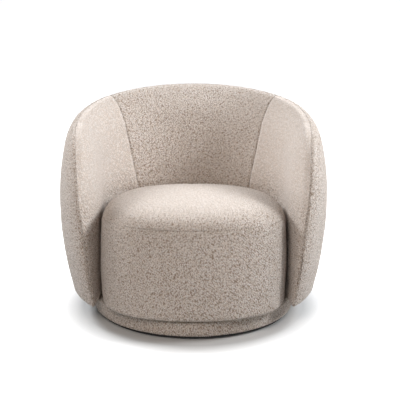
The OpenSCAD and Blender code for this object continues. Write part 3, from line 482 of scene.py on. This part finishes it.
def new_group(kind, name, inputs, outputs):
    """A node group with inputs and outputs listed by their kinds, the inputs' sockets and the end node."""
    tree = bpy.data.node_groups.new(name, kind + "NodeTree")
    for way, kinds in (("INPUT", inputs), ("OUTPUT", outputs)):
        for socket, labels in kinds.items():
            for label in labels:
                tree.interface.new_socket(label, in_out=way, socket_type="NodeSocket" + socket)
    return tree, tree.nodes.new("NodeGroupInput").outputs, tree.nodes.new("NodeGroupOutput")


def modifier_group(name, sizes, material):
    """A Geometry Nodes tree with these sizes and this material as inputs."""
    inputs = {"Geometry": ["Geometry"], "Float": sizes, "Material": [material]}
    tree, start, end = new_group("Geometry", name, inputs, {"Geometry": ["Geometry"]})
    tree.is_modifier = True
    return tree, start, end


def finish_tree(tree, geometry, material, end):
    """Ends a tree in real, smooth geometry with its material."""
    real = make_node(tree, "GeometryNodeRealizeInstances", geometry)
    smooth = make_node(tree, "GeometryNodeSetShadeSmooth", real)
    set_up(end, make_node(tree, "GeometryNodeSetMaterial", smooth, Material=material))
    return tree


# Distance from a loop's middle at which the relief is level with the cloth, in loop sizes
LOOP_LEVEL = 0.45


@once("node_groups", "Cloth relief")
def relief_tree(name):
    """Raises the loops and nubs of the cloth and the soft unevenness of the padding, along the surface's normal."""
    kinds = ("Loop", "Nub", "Slack")
    sizes = [kind + size for kind in kinds for size in (" Size", " Height")]
    tree, start, end = modifier_group(name, sizes, "Cloth")
    position, total = make_node(tree, "GeometryNodeInputPosition"), 0.0
    for kind in kinds:
        texture = "ShaderNodeTexVoronoi" if kind == "Loop" else "ShaderNodeTexNoise"
        texture = make_node(tree, texture, Vector=position, Scale=calc("DIVIDE", 1.0, start[kind + " Size"]))
        if kind == "Loop":
            value = calc("SUBTRACT", LOOP_LEVEL, texture.outputs["Distance"])
        else:
            set_up(texture, Detail=1)
            value = calc("MULTIPLY", calc("SUBTRACT", texture.outputs[0], 0.5), 2.0)
        total = calc("ADD", total, calc("MULTIPLY", value, start[kind + " Height"]))
    normal = make_node(tree, "GeometryNodeInputNormal")
    offset = make_node(tree, "ShaderNodeVectorMath", normal, operation="SCALE", Scale=total)
    place = make_node(tree, "GeometryNodeSetPosition", Geometry=start["Geometry"], Offset=offset)
    return finish_tree(tree, place, start["Cloth"], end)


@once("node_groups", "Stitches")
def stitch_tree(name):
    """Lays short stitches of thread end to end along a line of points."""
    tree, start, end = modifier_group(name, ["Pitch", "Length", "Radius"], "Thread")
    line = make_node(tree, "GeometryNodeMeshToCurve", start["Geometry"])
    spaced = make_node(tree, "GeometryNodeResampleCurve", mode="LENGTH", Curve=line, Length=start["Pitch"])
    points = make_node(tree, "GeometryNodeCurveToPoints", mode="EVALUATED", Curve=spaced)
    thread = make_node(tree, "GeometryNodeMeshUVSphere", Segments=6, Rings=4, Radius=1)
    half = calc("MULTIPLY", start["Length"], 0.5)
    scale = make_node(tree, "ShaderNodeCombineXYZ", start["Radius"], start["Radius"], half)
    align = make_node(tree, "FunctionNodeAlignRotationToVector", axis="Z", Vector=points.outputs["Tangent"])
    place = make_node(tree, "GeometryNodeInstanceOnPoints", points, Instance=thread, Rotation=align, Scale=scale)
    return finish_tree(tree, place, start["Thread"], end)


def grow_with_nodes(obj, tree, values):
    """Runs the tree on the object and keeps the result as its plain mesh."""
    modifier = obj.modifiers.new(tree.name, "NODES")
    modifier.node_group = tree
    items = [s for s in tree.interface.items_tree if s.item_type == "SOCKET" and s.in_out == "INPUT"]
    sockets = {s.name: s.identifier for s in items}
    for label, value in values.items():
        modifier[sockets[label]] = value
    bpy.context.view_layer.update()
    old = obj.data
    mesh = bpy.data.meshes.new_from_object(obj.evaluated_get(bpy.context.evaluated_depsgraph_get()))
    obj.modifiers.remove(modifier)
    obj.data = mesh
    mesh.name = obj.name
    bpy.data.meshes.remove(old)
    return obj


# Finishes


def mix_colour(factor, a, b):
    """A mix of two colours or outputs."""
    node = make_node(factor.id_data, "ShaderNodeMix", factor, data_type="RGBA")
    plug(node.inputs[6], a)
    plug(node.inputs[7], b)
    return node.outputs[2]


def ranged(value, low, high, to_low=0.0, to_high=1.0):
    """The value, moved from one range to another and held inside it."""
    return make_node(value.id_data, "ShaderNodeMapRange", value, low, high, to_low, to_high).outputs[0]


def noise(vector, size, detail=2.0, distortion=0.0):
    """A noise with features of about this size, which is metres or an input in metres."""
    values = {"Scale": 1 / size if isinstance(size, float) else calc("DIVIDE", 1.0, size), "Detail": detail}
    texture = make_node(vector.id_data, "ShaderNodeTexNoise", vector, Distortion=distortion, **values)
    return texture.outputs[0]


# How far the loops are bent in shares of a loop, how many bends a loop has, and the width of a fibre in metres
CURL, CURLS_PER_LOOP, FIBRE = 0.5, 0.7, 0.0011


@once("node_groups", "Looped yarn")
def loops_group(name):
    """Looped yarn: curled loops with a darker, warmer ground between them as painted shade in the hollows, and fine
    fibres on them.
    """
    inputs = {"Vector": ["Vector"], "Float": ["Loop Size", "Worn"], "Color": ["Yarn", "Pale Yarn", "Ground"]}
    tree, start, end = new_group("Shader", name, inputs, {"Color": ["Color"], "Float": ["Height", "Roughness"]})
    vector, size, worn_and_lit = (start[label] for label in ("Vector", "Loop Size", "Worn"))
    curl = make_node(tree, "ShaderNodeTexNoise", vector, Scale=calc("DIVIDE", CURLS_PER_LOOP, size))
    curl, reach = curl.outputs["Color"], calc("MULTIPLY", size, CURL)
    bend = make_node(tree, "ShaderNodeVectorMath", curl, reach, vector, operation="MULTIPLY_ADD")
    loops = make_node(tree, "ShaderNodeTexVoronoi", bend, feature="SMOOTH_F1", Smoothness=0.25, Randomness=0.8)
    set_up(loops, Scale=calc("DIVIDE", 1.0, size))
    dome, fibre = ranged(loops.outputs["Distance"], 0.8, 0.1), noise(vector, FIBRE, 3.0, 0.6)
    height = calc("ADD", calc("MULTIPLY", dome, 0.8), calc("MULTIPLY", fibre, 0.2))
    yarn = mix_colour(ranged(loops.outputs["Color"], 0.1, 0.9), start["Yarn"], start["Pale Yarn"])
    # Painted shade: off the loops' domes the colour sinks to the darker ground
    shade = calc("MULTIPLY", ranged(dome, 0.0, 0.75), ranged(fibre, 0.25, 0.6, 0.75, 1.0))
    # Painted light, partly real wear: where the attribute is high the loops hide the ground, so the cloth is paler, and
    # their bumps are flatter
    cloth = mix_colour(calc("MAXIMUM", shade, worn_and_lit), start["Ground"], yarn)
    height = calc("MULTIPLY", height, calc("SUBTRACT", 1.0, worn_and_lit))
    set_up(end, Color=cloth, Height=height, Roughness=ranged(fibre, 0.3, 0.7, 0.95, 0.82))
    return tree


@once("node_groups", "Long grain")
def grain_group(name):
    """Long grain: rings of colour and pores drawn out along one axis of the vector."""
    inputs = {"Vector": ["Vector"], "Float": ["Size"], "Color": ["Light", "Dark"]}
    tree, start, end = new_group("Shader", name, inputs, {"Color": ["Color"], "Float": ["Height"]})
    band = noise(start["Vector"], start["Size"], 5.0, 0.4)
    set_up(end, Color=mix_colour(ranged(band, 0.35, 0.65), start["Dark"], start["Light"]), Height=band)
    return tree


def material_base(name, rough=0.5, metal=0.0):
    """A material with its node tree and its Principled BSDF."""
    material = bpy.data.materials.new(name)
    material.use_nodes = True
    tree = material.node_tree
    return material, tree, set_up(tree.nodes["Principled BSDF"], Roughness=rough, Metallic=metal)


def object_vector(tree, stretch=(1, 1, 1), lie=(0, 0, 0)):
    """Object coordinates, with patterns drawn out along the axes of a turned frame."""
    where = make_node(tree, "ShaderNodeTexCoord").outputs["Object"]
    mapping = make_node(tree, "ShaderNodeMapping", where, vector_type="TEXTURE", Scale=stretch, Rotation=lie)
    return mapping.outputs[0]


def add_bump(bsdf, height, distance):
    """Bumps of this depth in metres from a height of 0 to 1."""
    set_up(bsdf, Normal=make_node(bsdf.id_data, "ShaderNodeBump", Height=height, Distance=distance, Strength=1.0))


@once("materials", "Looped cloth")
def cloth_material(name):
    """The looped cloth of all covers."""
    c = bpy.context.scene.tub_cloth
    material, tree, bsdf = material_base(name, 0.9)
    group = make_node(tree, "ShaderNodeGroup", node_tree=loops_group())
    vector = object_vector(tree, (1, 1, c.loop_stretch), c.loop_lie)
    # Painted light, partly real wear: this attribute makes the lit upper arms and seat crown paler and smoother
    worn_and_lit = make_node(tree, "ShaderNodeAttribute", attribute_name=WORN_AND_LIT).outputs["Fac"]
    set_up(group, vector, Loop_Size=c.loop_size, Worn=worn_and_lit, Yarn=c.yarn, Pale_Yarn=c.yarn_pale, Ground=c.shaded_ground)
    set_up(bsdf, Base_Color=group.outputs["Color"], Roughness=group.outputs["Roughness"])
    set_up(bsdf, Specular_IOR_Level=0.2, Sheen_Weight=0.15, Sheen_Roughness=0.6)
    add_bump(bsdf, group.outputs["Height"], c.loop_height)
    return material


@once("materials", "Sewing thread")
def thread_material(name):
    """Sewing thread, twisted and a little darker than the cloth."""
    material, tree, bsdf = material_base(name, 0.7)
    twist = noise(object_vector(tree), 0.0008)
    set_up(bsdf, Base_Color=mix_colour(twist, (0.20, 0.165, 0.14), (0.36, 0.31, 0.27)))
    return material


def speckled(name, dark, light, size, rough, bump, metal=0.0):
    """A finish with fine unevenness of colour, gloss and surface."""
    material, tree, bsdf = material_base(name, rough, metal)
    vector = object_vector(tree)
    grain, cloud = noise(vector, size, 4.0), noise(vector, size * 14)
    tone = calc("ADD", calc("MULTIPLY", grain, 0.6), calc("MULTIPLY", cloud, 0.4))
    set_up(bsdf, Base_Color=mix_colour(ranged(tone, 0.35, 0.65), dark, light))
    set_up(bsdf, Roughness=ranged(tone, 0.3, 0.7, rough + 0.1, max(rough - 0.1, 0.05)))
    add_bump(bsdf, grain, bump)
    return material


def plywood_material():
    """Birch plywood: thin plies across its edges and long grain on its faces."""
    material, tree, bsdf = material_base("Birch plywood", 0.6)
    group = make_node(tree, "ShaderNodeGroup", node_tree=grain_group())
    set_up(group, object_vector(tree, (1, 8, 1)), 0.012, (0.62, 0.45, 0.26), (0.42, 0.27, 0.14))
    vector = object_vector(tree)
    plies = make_node(tree, "ShaderNodeTexWave", vector, bands_direction="Z", Scale=75, Distortion=1.2)
    shade = ranged(plies.outputs["Fac"], 0, 1, 0.0, 0.35)
    set_up(bsdf, Base_Color=mix_colour(shade, group.outputs["Color"], (0.30, 0.18, 0.09)))
    add_bump(bsdf, group.outputs["Height"], 0.0003)
    return material


# Name, dark and light colour, size of the grain, roughness, depth of the bumps and metal of each plain finish
SPECKLED = {
    "foam": ("Cut foam", (0.72, 0.62, 0.40), (0.86, 0.78, 0.56), 0.0016, 0.9, 0.0006),
    "felt_and_board": ("Felt and fibreboard", (0.12, 0.10, 0.08), (0.30, 0.25, 0.20), 0.0020, 0.9, 0.0005),
    "black_cloth": ("Dust cloth", (0.010, 0.010, 0.011), (0.035, 0.035, 0.036), 0.0012, 0.85, 0.0003),
    "black_rubber": ("Black rubber", (0.012, 0.012, 0.012), (0.030, 0.030, 0.031), 0.0010, 0.75, 0.0002),
    "black_paint": ("Black stained board", (0.010, 0.010, 0.010), (0.028, 0.026, 0.025), 0.0060, 0.55, 0.0002),
    "zinc_steel": ("Zinc-plated steel", (0.42, 0.43, 0.45), (0.66, 0.67, 0.69), 0.0030, 0.35, 0.0001, 1.0),
    "cage_brass": ("Brass strip", (0.50, 0.34, 0.12), (0.74, 0.55, 0.24), 0.0025, 0.32, 0.0001, 1.0),
}


def finish_for(slot):
    """The finish of a material slot; the cloth's where it has none of its own."""
    if slot in SPECKLED:
        return speckled(*SPECKLED[slot])
    return plywood_material() if slot == "birch_plywood" else cloth_material()


# Covers

# The attribute that says how flat and pale the loops are, partly real wear and partly painted light on the lit upper
# arms and seat crown, and the heights between which it grows
WORN_AND_LIT = "worn_and_lit"
ARM_WEAR_AND_LIGHT, SEAT_WEAR_AND_LIGHT, SEAT_WEAR_AND_LIGHT_SHARE = (0.30, 0.44), (0.372, 0.392), 0.6

# Size and height of the relief's loops, in shares of the cloth's, and how much of it the stretched plinth shows
RELIEF_SIZE, RELIEF_HEIGHT, PLINTH_LOOPS = 2.6, 0.1, 0.6

# Lengths in metres that set how many steps a cover has, longer than the real ones where its points crowd together
OUTSIDE_ROWS, INSIDE_ROWS, SEAT_TURNS, CROWN_ROWS, BORDER_ROWS = 0.825, 0.775, 1.72, 0.42, 0.308

ARM_CROWDING, INSIDE_RADIUS, QUICK_SPACING = 1.25, 0.432, 2.4

# Steps of the plinth's wall, of its rounded edge and of its lid, and how far its lower edge is drawn in
PLINTH_STEPS, PLINTH_TUCK = (8, 8, 16), 0.0015

# Half the gap at an upright seam, the gap under the seat's seam, and that seam's place on the roll of the crown
PANEL_GAP, SEAT_GAP, SEAM_CLIMB = 0.0002, 0.0004, math.pi / 2 / 7

# A cover's back has one point for so many of its face
BACK_STEP = 4


def add_relief(obj, c, loops=1.0):
    """Raises the cloth's relief on a cover, with this share of its loops and nubs."""
    values = {
        "Loop Size": c.loop_size * RELIEF_SIZE,
        "Loop Height": c.loop_height * RELIEF_HEIGHT * loops,
        "Nub Size": c.nub_size,
        "Nub Height": c.nub_height * loops,
        "Slack Size": c.slack_size,
        "Slack Height": c.slack_height,
        "Cloth": cloth_material(),
    }
    return grow_with_nodes(obj, relief_tree(), values)


def wear_and_light(obj, share, start, end):
    """Flattens and pales the pile by this share, more and more from one height to another: partly real wear, partly
    painted light that brightens the higher, lit parts.
    """
    points = np.empty(len(obj.data.vertices) * 3)
    obj.data.vertices.foreach_get("co", points)
    values = share * ease((points[2::3] - start) / (end - start))
    obj.data.attributes.new(WORN_AND_LIT, "FLOAT", "POINT").data.foreach_set("value", values)


def seat_it(obj, body, fill, *nodes):
    """Joins a padded cover to its body, and lets it stand for its CAD nodes."""
    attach(obj, body)
    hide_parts(*nodes)


def steps_for(size):
    """Number of steps in a cover's face over this length."""
    spacing = bpy.context.scene.tub_cloth.grid * 1.0
    return max(int(round(size / spacing / BACK_STEP)), 1) * BACK_STEP


def full_turn(length):
    """Angles of a full turn whose way round is this long."""
    count = steps_for(length)
    return np.arange(count) * 2 * np.pi / count


class TUB_OT_outside_cover(bpy.types.Operator):
    """Covers the outside of the back and arms with one piece of cloth"""

    bl_idname = "tub.outside_cover"
    bl_label = "Outside Cover"

    def execute(self, context):
        s, c = context.scene.tub_shell, context.scene.tub_cloth
        arm = steps_for((s.arm_angle - s.seam_angle) * s.width / 2 * ARM_CROWDING)
        middle = steps_for(s.seam_angle * s.width)
        rows = round_shares(steps_for(OUTSIDE_ROWS))

        def grid(depth, step):
            return shell_sheet(s, True, whole_rim(s, depth, arm, middle + 1)[::step], rows[::step], depth)

        face, to_rim = grid(0.0, 1)
        back, _ = grid(s.cloth, BACK_STEP)
        face = face - grid_normals(face, False, away) * seam_valley(c, to_rim, along_rim(face))[..., None]
        seat_it(add_relief(panel_mesh("outside_boucle", face, back), c), "chair", 0.9, "outside_cover")
        return {"FINISHED"}


def inside_panel(context, name, node, first, last, mirror=False):
    """One panel of the inside, from one plan angle to another; None ends at the arm's front."""
    s, c = context.scene.tub_shell, context.scene.tub_cloth
    rows = round_shares(steps_for(INSIDE_ROWS))
    steps = steps_for(((s.arm_angle if last is None else last) - first) * INSIDE_RADIUS)
    gap = PANEL_GAP / s.well_back

    def grid(depth, step):
        if last is None:
            angles = shell_angles(s, depth, first + gap, steps)
        else:
            angles = np.linspace(first + gap, last - gap, steps + 1)
        points, to_rim = shell_sheet(s, False, angles[::step], rows[::step], depth)
        return points, to_rim, angles[::step]

    face, to_rim, angles = grid(0.0, 1)
    back, _, _ = grid(s.cloth, BACK_STEP)
    radius = np.linalg.norm(face[..., :2], axis=-1)
    valley = seam_valley(c, to_rim, along_rim(face))
    for edge in [first] if last is None else [first, last]:
        valley = np.maximum(valley, seam_valley(c, np.abs(angles[:, None] - edge) * radius, face[..., 2]))
    face = face - grid_normals(face, False, inwards) * valley[..., None]
    if mirror:
        face, back = face * np.array([-1, 1, 1]), back * np.array([-1, 1, 1])
    panel = add_relief(panel_mesh(name, face, back), c)
    if last is None:
        # Painted light, partly real wear: paler, flatter pile towards the lit top of the inside arm
        wear_and_light(panel, c.worn_and_lit, *ARM_WEAR_AND_LIGHT)
    seat_it(panel, "chair", 0.8, node)


class TUB_OT_inside_panels(bpy.types.Operator):
    """Covers the inside back and the two inside arms, with an upright seam between each two"""

    bl_idname = "tub.inside_panels"
    bl_label = "Inside Panels"

    def execute(self, context):
        seam = context.scene.tub_shell.seam_angle
        inside_panel(context, "inside_back_boucle", "inside_back_cover", -seam, seam)
        inside_panel(context, "right_arm_boucle", "right_arm_cover", seam, None)
        inside_panel(context, "left_arm_boucle", "left_arm_cover", seam, None, mirror=True)
        return {"FINISHED"}


class TUB_OT_seat_covers(bpy.types.Operator):
    """Covers the seat's top and its upright border"""

    bl_idname = "tub.seat_covers"
    bl_label = "Seat Covers"

    def execute(self, context):
        seat, shell, c = context.scene.tub_seat, context.scene.tub_shell, context.scene.tub_cloth
        turns = full_turn(SEAT_TURNS)
        crown_steps, side_rows = steps_for(CROWN_ROWS), round_shares(steps_for(BORDER_ROWS))
        roll = np.linspace(0, SEAM_CLIMB, BACK_STEP * 2 + 1)

        def top_grid(depth, step):
            share = np.cos(np.linspace(0, np.pi / 2, crown_steps + 1))[:-1]
            share = math.cos(SEAM_CLIMB) ** (2 / CROWN_PLAN_POWER) * share
            climb = np.arccos(clamp(share ** (CROWN_PLAN_POWER / 2), 0, 1))
            return seat_crown(seat, turns[::step], climb[::step], depth)

        def border_grid(depth, step):
            side = seat_side(seat, shell, turns[::step], side_rows[::step], depth)
            return np.concatenate([side, seat_crown(seat, turns[::step], roll[step::step], depth)], 1)

        def drawn(face, outward, distance):
            valley = c.seat_seam * seam_valley(c, distance, along)
            return face - grid_normals(face, True, outward) * valley[..., None]

        top, top_back = top_grid(0.0, 1), top_grid(shell.cloth, BACK_STEP)
        ring = top[:, 0]
        along = np.cumsum(np.linalg.norm(ring - np.roll(ring, 1, 0), axis=1))[:, None]
        start = np.zeros((len(turns), 1))
        distance = np.cumsum(np.concatenate([start, np.linalg.norm(np.diff(top, axis=1), axis=2)], 1), 1)
        poles = [(0, seat.middle_y, seat.crown), (0, seat.middle_y, seat.crown - shell.cloth)]
        top = drawn(top, upwards, distance)
        cover = add_relief(panel_mesh("seat_top_boucle", top, top_back, wrap=True, poles=poles), c)
        # Painted light, partly real wear: paler, flatter pile towards the lit top of the seat's crown
        wear_and_light(cover, c.worn_and_lit * SEAT_WEAR_AND_LIGHT_SHARE, *SEAT_WEAR_AND_LIGHT)
        seat_it(cover, "chair", 0.85, "seat_top_cover")

        side, side_back = border_grid(0.0, 1), border_grid(shell.cloth, BACK_STEP)
        lengths = np.linalg.norm(np.diff(side, axis=1), axis=2)
        distance = np.concatenate([np.cumsum(lengths[:, ::-1], 1)[:, ::-1], start], 1)
        side = drawn(side, lambda p: away(p - np.array([0, seat.middle_y, 0])), distance)
        side[:, -1, 2] -= SEAT_GAP
        side_back[:, -1, 2] -= SEAT_GAP
        cover = panel_mesh("seat_border_boucle", side, side_back, wrap=True)
        seat_it(add_relief(cover, c), "chair", 0.9, "seat_border_cover")
        return {"FINISHED"}


class TUB_OT_plinth_cover(bpy.types.Operator):
    """Wraps the round plinth in the same cloth"""

    bl_idname = "tub.plinth_cover"
    bl_label = "Plinth Cover"

    def execute(self, context):
        p, shell, c = context.scene.tub_plinth, context.scene.tub_shell, context.scene.tub_cloth
        turns = full_turn(2 * math.pi * p.radius)
        wall_steps, bend_steps, lid_steps = PLINTH_STEPS

        def grid(depth, step):
            radius, top, edge = p.radius - depth, p.top - depth, p.edge - depth
            wall = np.linspace(p.base, top - edge, wall_steps + 1)[:-1]
            bend = np.linspace(0, np.pi / 2, bend_steps + 1)[:-1]
            lid = np.linspace(radius - edge, p.eye, lid_steps + 1)
            r = np.concatenate([wall * 0 + radius, radius - edge + edge * np.cos(bend), lid])
            z = np.concatenate([wall, top - edge + edge * np.sin(bend), lid * 0 + top])
            r[0] -= PLINTH_TUCK
            a, r, z = turns[::step, None], r[None, ::step], z[None, ::step]
            return np.stack([r * np.sin(a), r * np.cos(a), z + 0 * a], -1)

        cover = panel_mesh("plinth_boucle", grid(0.0, 1), grid(shell.cloth, BACK_STEP), wrap=True)
        seat_it(add_relief(cover, c, PLINTH_LOOPS), "base", 0.9, "plinth_cover")
        return {"FINISHED"}


# Steps along the rim, up an upright seam and round the seat, and the reach of the strips that give their normals
RIM_STEPS, UPRIGHT_STEPS, ROUND_STEPS, UPRIGHT_REACH, ROUND_REACH = 200, 400, 400, 0.01, 0.02

# Height at which the upright seams come out of the seat, and share of their length at which they meet the rim
UPRIGHT_START, UPRIGHT_END = 0.30, 0.998

# Share of a stitch's radius by which its middle stands over the bottom of the valley
STITCH_RISE = 0.8


def stitch_line(name, points, closed=False):
    """A row of stitches along these points."""
    count = len(points)
    edges = [(i, (i + 1) % count) for i in range(count if closed else count - 1)]
    obj, c = mesh_object(name, points, [], edges), bpy.context.scene.tub_cloth
    values = {"Pitch": c.stitch_pitch, "Length": c.stitch_length, "Radius": c.thread, "Thread": thread_material()}
    grow_with_nodes(obj, stitch_tree(), values)
    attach(obj, "chair")


class TUB_OT_seams(bpy.types.Operator):
    """Sews stitches into the valleys of the rim seam, the two upright seams and the seat seam"""

    bl_idname = "tub.seams"
    bl_label = "Seams"

    def execute(self, context):
        s, seat, c = context.scene.tub_shell, context.scene.tub_seat, context.scene.tub_cloth
        valley, rise = c.seam_depth + c.pucker * GATHER_MEAN, c.thread * STITCH_RISE
        angles, rows = whole_rim(s, 0.0, RIM_STEPS, RIM_STEPS), round_shares(UPRIGHT_STEPS)
        outer, _ = shell_sheet(s, True, angles, rows[-3:], 0.0)
        inner, _ = shell_sheet(s, False, angles, rows[-3:], 0.0)
        out = np.cross(outer[:, 0] - inner[:, 0], np.gradient(outer[:, -1], axis=0))
        out /= np.linalg.norm(out, axis=1, keepdims=True)
        out *= np.sign((out * upwards(out) + out * away(outer[:, -1])).sum(1, keepdims=True))
        stitch_line("rim_stitches", (outer[:, -1] + inner[:, -1]) / 2 - out * (valley - rise))
        for side, name in ((1, "right_seam_stitches"), (-1, "left_seam_stitches")):
            strip = side * (s.seam_angle + np.array([-UPRIGHT_REACH, 0, UPRIGHT_REACH]))
            line, _ = shell_sheet(s, False, strip, rows, 0.0)
            keep = (line[1, :, 2] > UPRIGHT_START) & (rows < UPRIGHT_END)
            stitch_line(name, (line[1] - grid_normals(line, False, inwards)[1] * (valley - rise))[keep])
        turns = np.linspace(0, 2 * np.pi, ROUND_STEPS, endpoint=False)
        strip = [SEAM_CLIMB - ROUND_REACH, SEAM_CLIMB, SEAM_CLIMB + ROUND_REACH]
        ring = seat_crown(seat, turns, strip, 0.0)
        normals = grid_normals(ring, True, lambda p: p - np.array([0, seat.middle_y, 0.1]))[:, 1]
        stitch_line("seat_stitches", ring[:, 1] - normals * (valley * c.seat_seam - rise), closed=True)
        return {"FINISHED"}


class TUB_OT_frame_finishes(bpy.types.Operator):
    """Gives the wood, foam, felt, springs and bearing inside their own finishes"""

    bl_idname = "tub.frame_finishes"
    bl_label = "Frame Finishes"

    def execute(self, context):
        made = {}
        for part in frame["record"]["subparts"]:
            node, slot = part["node"], part["material_slot"]
            if slot not in made:
                made[slot] = finish_for(slot)
            materials = frame["nodes"][node].data.materials
            materials.clear()
            materials.append(made[slot])
        return {"FINISHED"}


# Stage

# Turn from the front and rise in degrees, width in metres, power in watts, and colour of each light
LIGHTS = {
    "left_key": (-114, 40, 0.8, 87, (0.92, 0.96, 1)),
    "right_key": (114, 41, 0.8, 64, (0.92, 0.96, 1)),
    "right_side": (82, 32, 0.8, 62, (0.96, 0.98, 1)),
    "front_soft": (-18, 35, 1.3, 42, (1, 0.91, 0.84)),
    "top_soft": (-60, 66, 1.3, 6, (0.92, 0.96, 1)),
}

# Distance of the lamps from their aim, height of the aim, half the width and the grey of the floor
LAMP_DISTANCE, AIM_HEIGHT, FLOOR_HALF, FLOOR_GREY = 3, 0.35, 14, (0.52, 0.52, 0.52)

# Width of the camera's sensor in millimetres
SENSOR_WIDTH = 36


def add_light(name, around, rise, size, power, tint):
    """A square lamp of this size in metres that shines on the chair from a turn and a rise in degrees."""
    around, rise = math.radians(around), math.radians(rise)
    light = bpy.data.lights.new(name, "AREA")
    light.size, light.energy, light.color = size, power, tint
    obj, level = add_object(name, light), LAMP_DISTANCE * math.cos(rise)
    high = AIM_HEIGHT + LAMP_DISTANCE * math.sin(rise)
    obj.location = (level * math.sin(around), -level * math.cos(around), high)
    obj.rotation_euler = (math.pi / 2 - rise, 0, around)


def seen_ray(tree):
    """1 for what the camera sees straight, in gloss or through glass, and 0 for light that falls on the chair."""
    path = make_node(tree, "ShaderNodeLightPath").outputs
    straight = calc("MAXIMUM", path["Is Camera Ray"], path["Is Glossy Ray"])
    return calc("MAXIMUM", straight, path["Is Transmission Ray"])


class TUB_OT_stage(bpy.types.Operator):
    """Sets up the pale floor, the side lights and the camera"""

    bl_idname = "tub.stage"
    bl_label = "Stage"

    def execute(self, context):
        scene, t = context.scene, context.scene.tub_stage
        corners = [(x * FLOOR_HALF, y * FLOOR_HALF, 0) for x, y in ((-1, -1), (1, -1), (1, 1), (-1, 1))]
        floor = mesh_object("floor", corners, [(0, 1, 2, 3)])
        material, tree, bsdf = material_base("Studio floor", 0.9)
        set_up(bsdf, Base_Color=FLOOR_GREY, Specular_IOR_Level=0.1)
        where = make_node(tree, "ShaderNodeTexCoord").outputs["Object"]
        reach = make_node(tree, "ShaderNodeVectorMath", where, operation="LENGTH").outputs["Value"]
        lift = ranged(reach, t.shadow_start, t.shadow_end, t.shadow_lift, t.floor_lift)
        glow = make_node(tree, "ShaderNodeEmission", Strength=calc("MULTIPLY", seen_ray(tree), lift))
        set_up(tree.nodes["Material Output"], Surface=make_node(tree, "ShaderNodeAddShader", bsdf, glow))
        floor.data.materials.append(material)

        world = bpy.data.worlds.new("Studio")
        world.use_nodes = True
        scene.world = world
        strength = calc("ADD", calc("MULTIPLY", seen_ray(world.node_tree), 1 - t.sky), t.sky)
        set_up(world.node_tree.nodes["Background"], Color=(1, 1, 1), Strength=strength)

        for name, (around, rise, size, power, tint) in LIGHTS.items():
            add_light(name, around, rise, size, power * t.light, tint)

        camera = bpy.data.cameras.new("camera")
        camera.lens, camera.sensor_width, camera.shift_x = t.lens, SENSOR_WIDTH, t.shift
        obj = add_object("camera", camera)
        obj.location = (t.distance * math.sin(t.azimuth), -t.distance * math.cos(t.azimuth), t.height)
        obj.rotation_euler = (math.pi / 2 - t.pitch, 0, t.azimuth)
        scene.camera = obj
        scene.view_settings.view_transform = "Standard"
        return {"FINISHED"}


GROUPS = {
    "tub_shell": ShellSizes,
    "tub_seat": SeatSizes,
    "tub_plinth": PlinthSizes,
    "tub_cloth": ClothLook,
    "tub_stage": StageSetup,
}
STEPS = [
    TUB_OT_frame_finishes,
    TUB_OT_outside_cover,
    TUB_OT_inside_panels,
    TUB_OT_seat_covers,
    TUB_OT_plinth_cover,
    TUB_OT_seams,
    TUB_OT_stage,
]


class TUB_PT_panel(bpy.types.Panel):
    """Lists the pieces of the chair and their sizes"""

    bl_idname = "TUB_PT_panel"
    bl_label = "Tub Chair"
    bl_space_type = "VIEW_3D"
    bl_region_type = "UI"
    bl_category = "Tub Chair"

    def draw(self, context):
        for step in STEPS:
            self.layout.operator(step.bl_idname)
        for key, group in GROUPS.items():
            box = self.layout.box()
            box.label(text=group.__doc__)
            for field in group.__annotations__:
                box.prop(getattr(context.scene, key), field)


def register():
    for cls in [*GROUPS.values(), *STEPS, TUB_PT_panel]:
        bpy.utils.register_class(cls)
    for key, group in GROUPS.items():
        setattr(bpy.types.Scene, key, PointerProperty(type=group))


def unregister():
    for key in GROUPS:
        delattr(bpy.types.Scene, key)
    for cls in reversed([*GROUPS.values(), *STEPS, TUB_PT_panel]):
        bpy.utils.unregister_class(cls)


def main():
    """Makes the whole chair."""
    register()
    for step in STEPS:
        area, name = step.bl_idname.split(".")
        getattr(getattr(bpy.ops, area), name)()


if __name__ == "__main__":
    main()
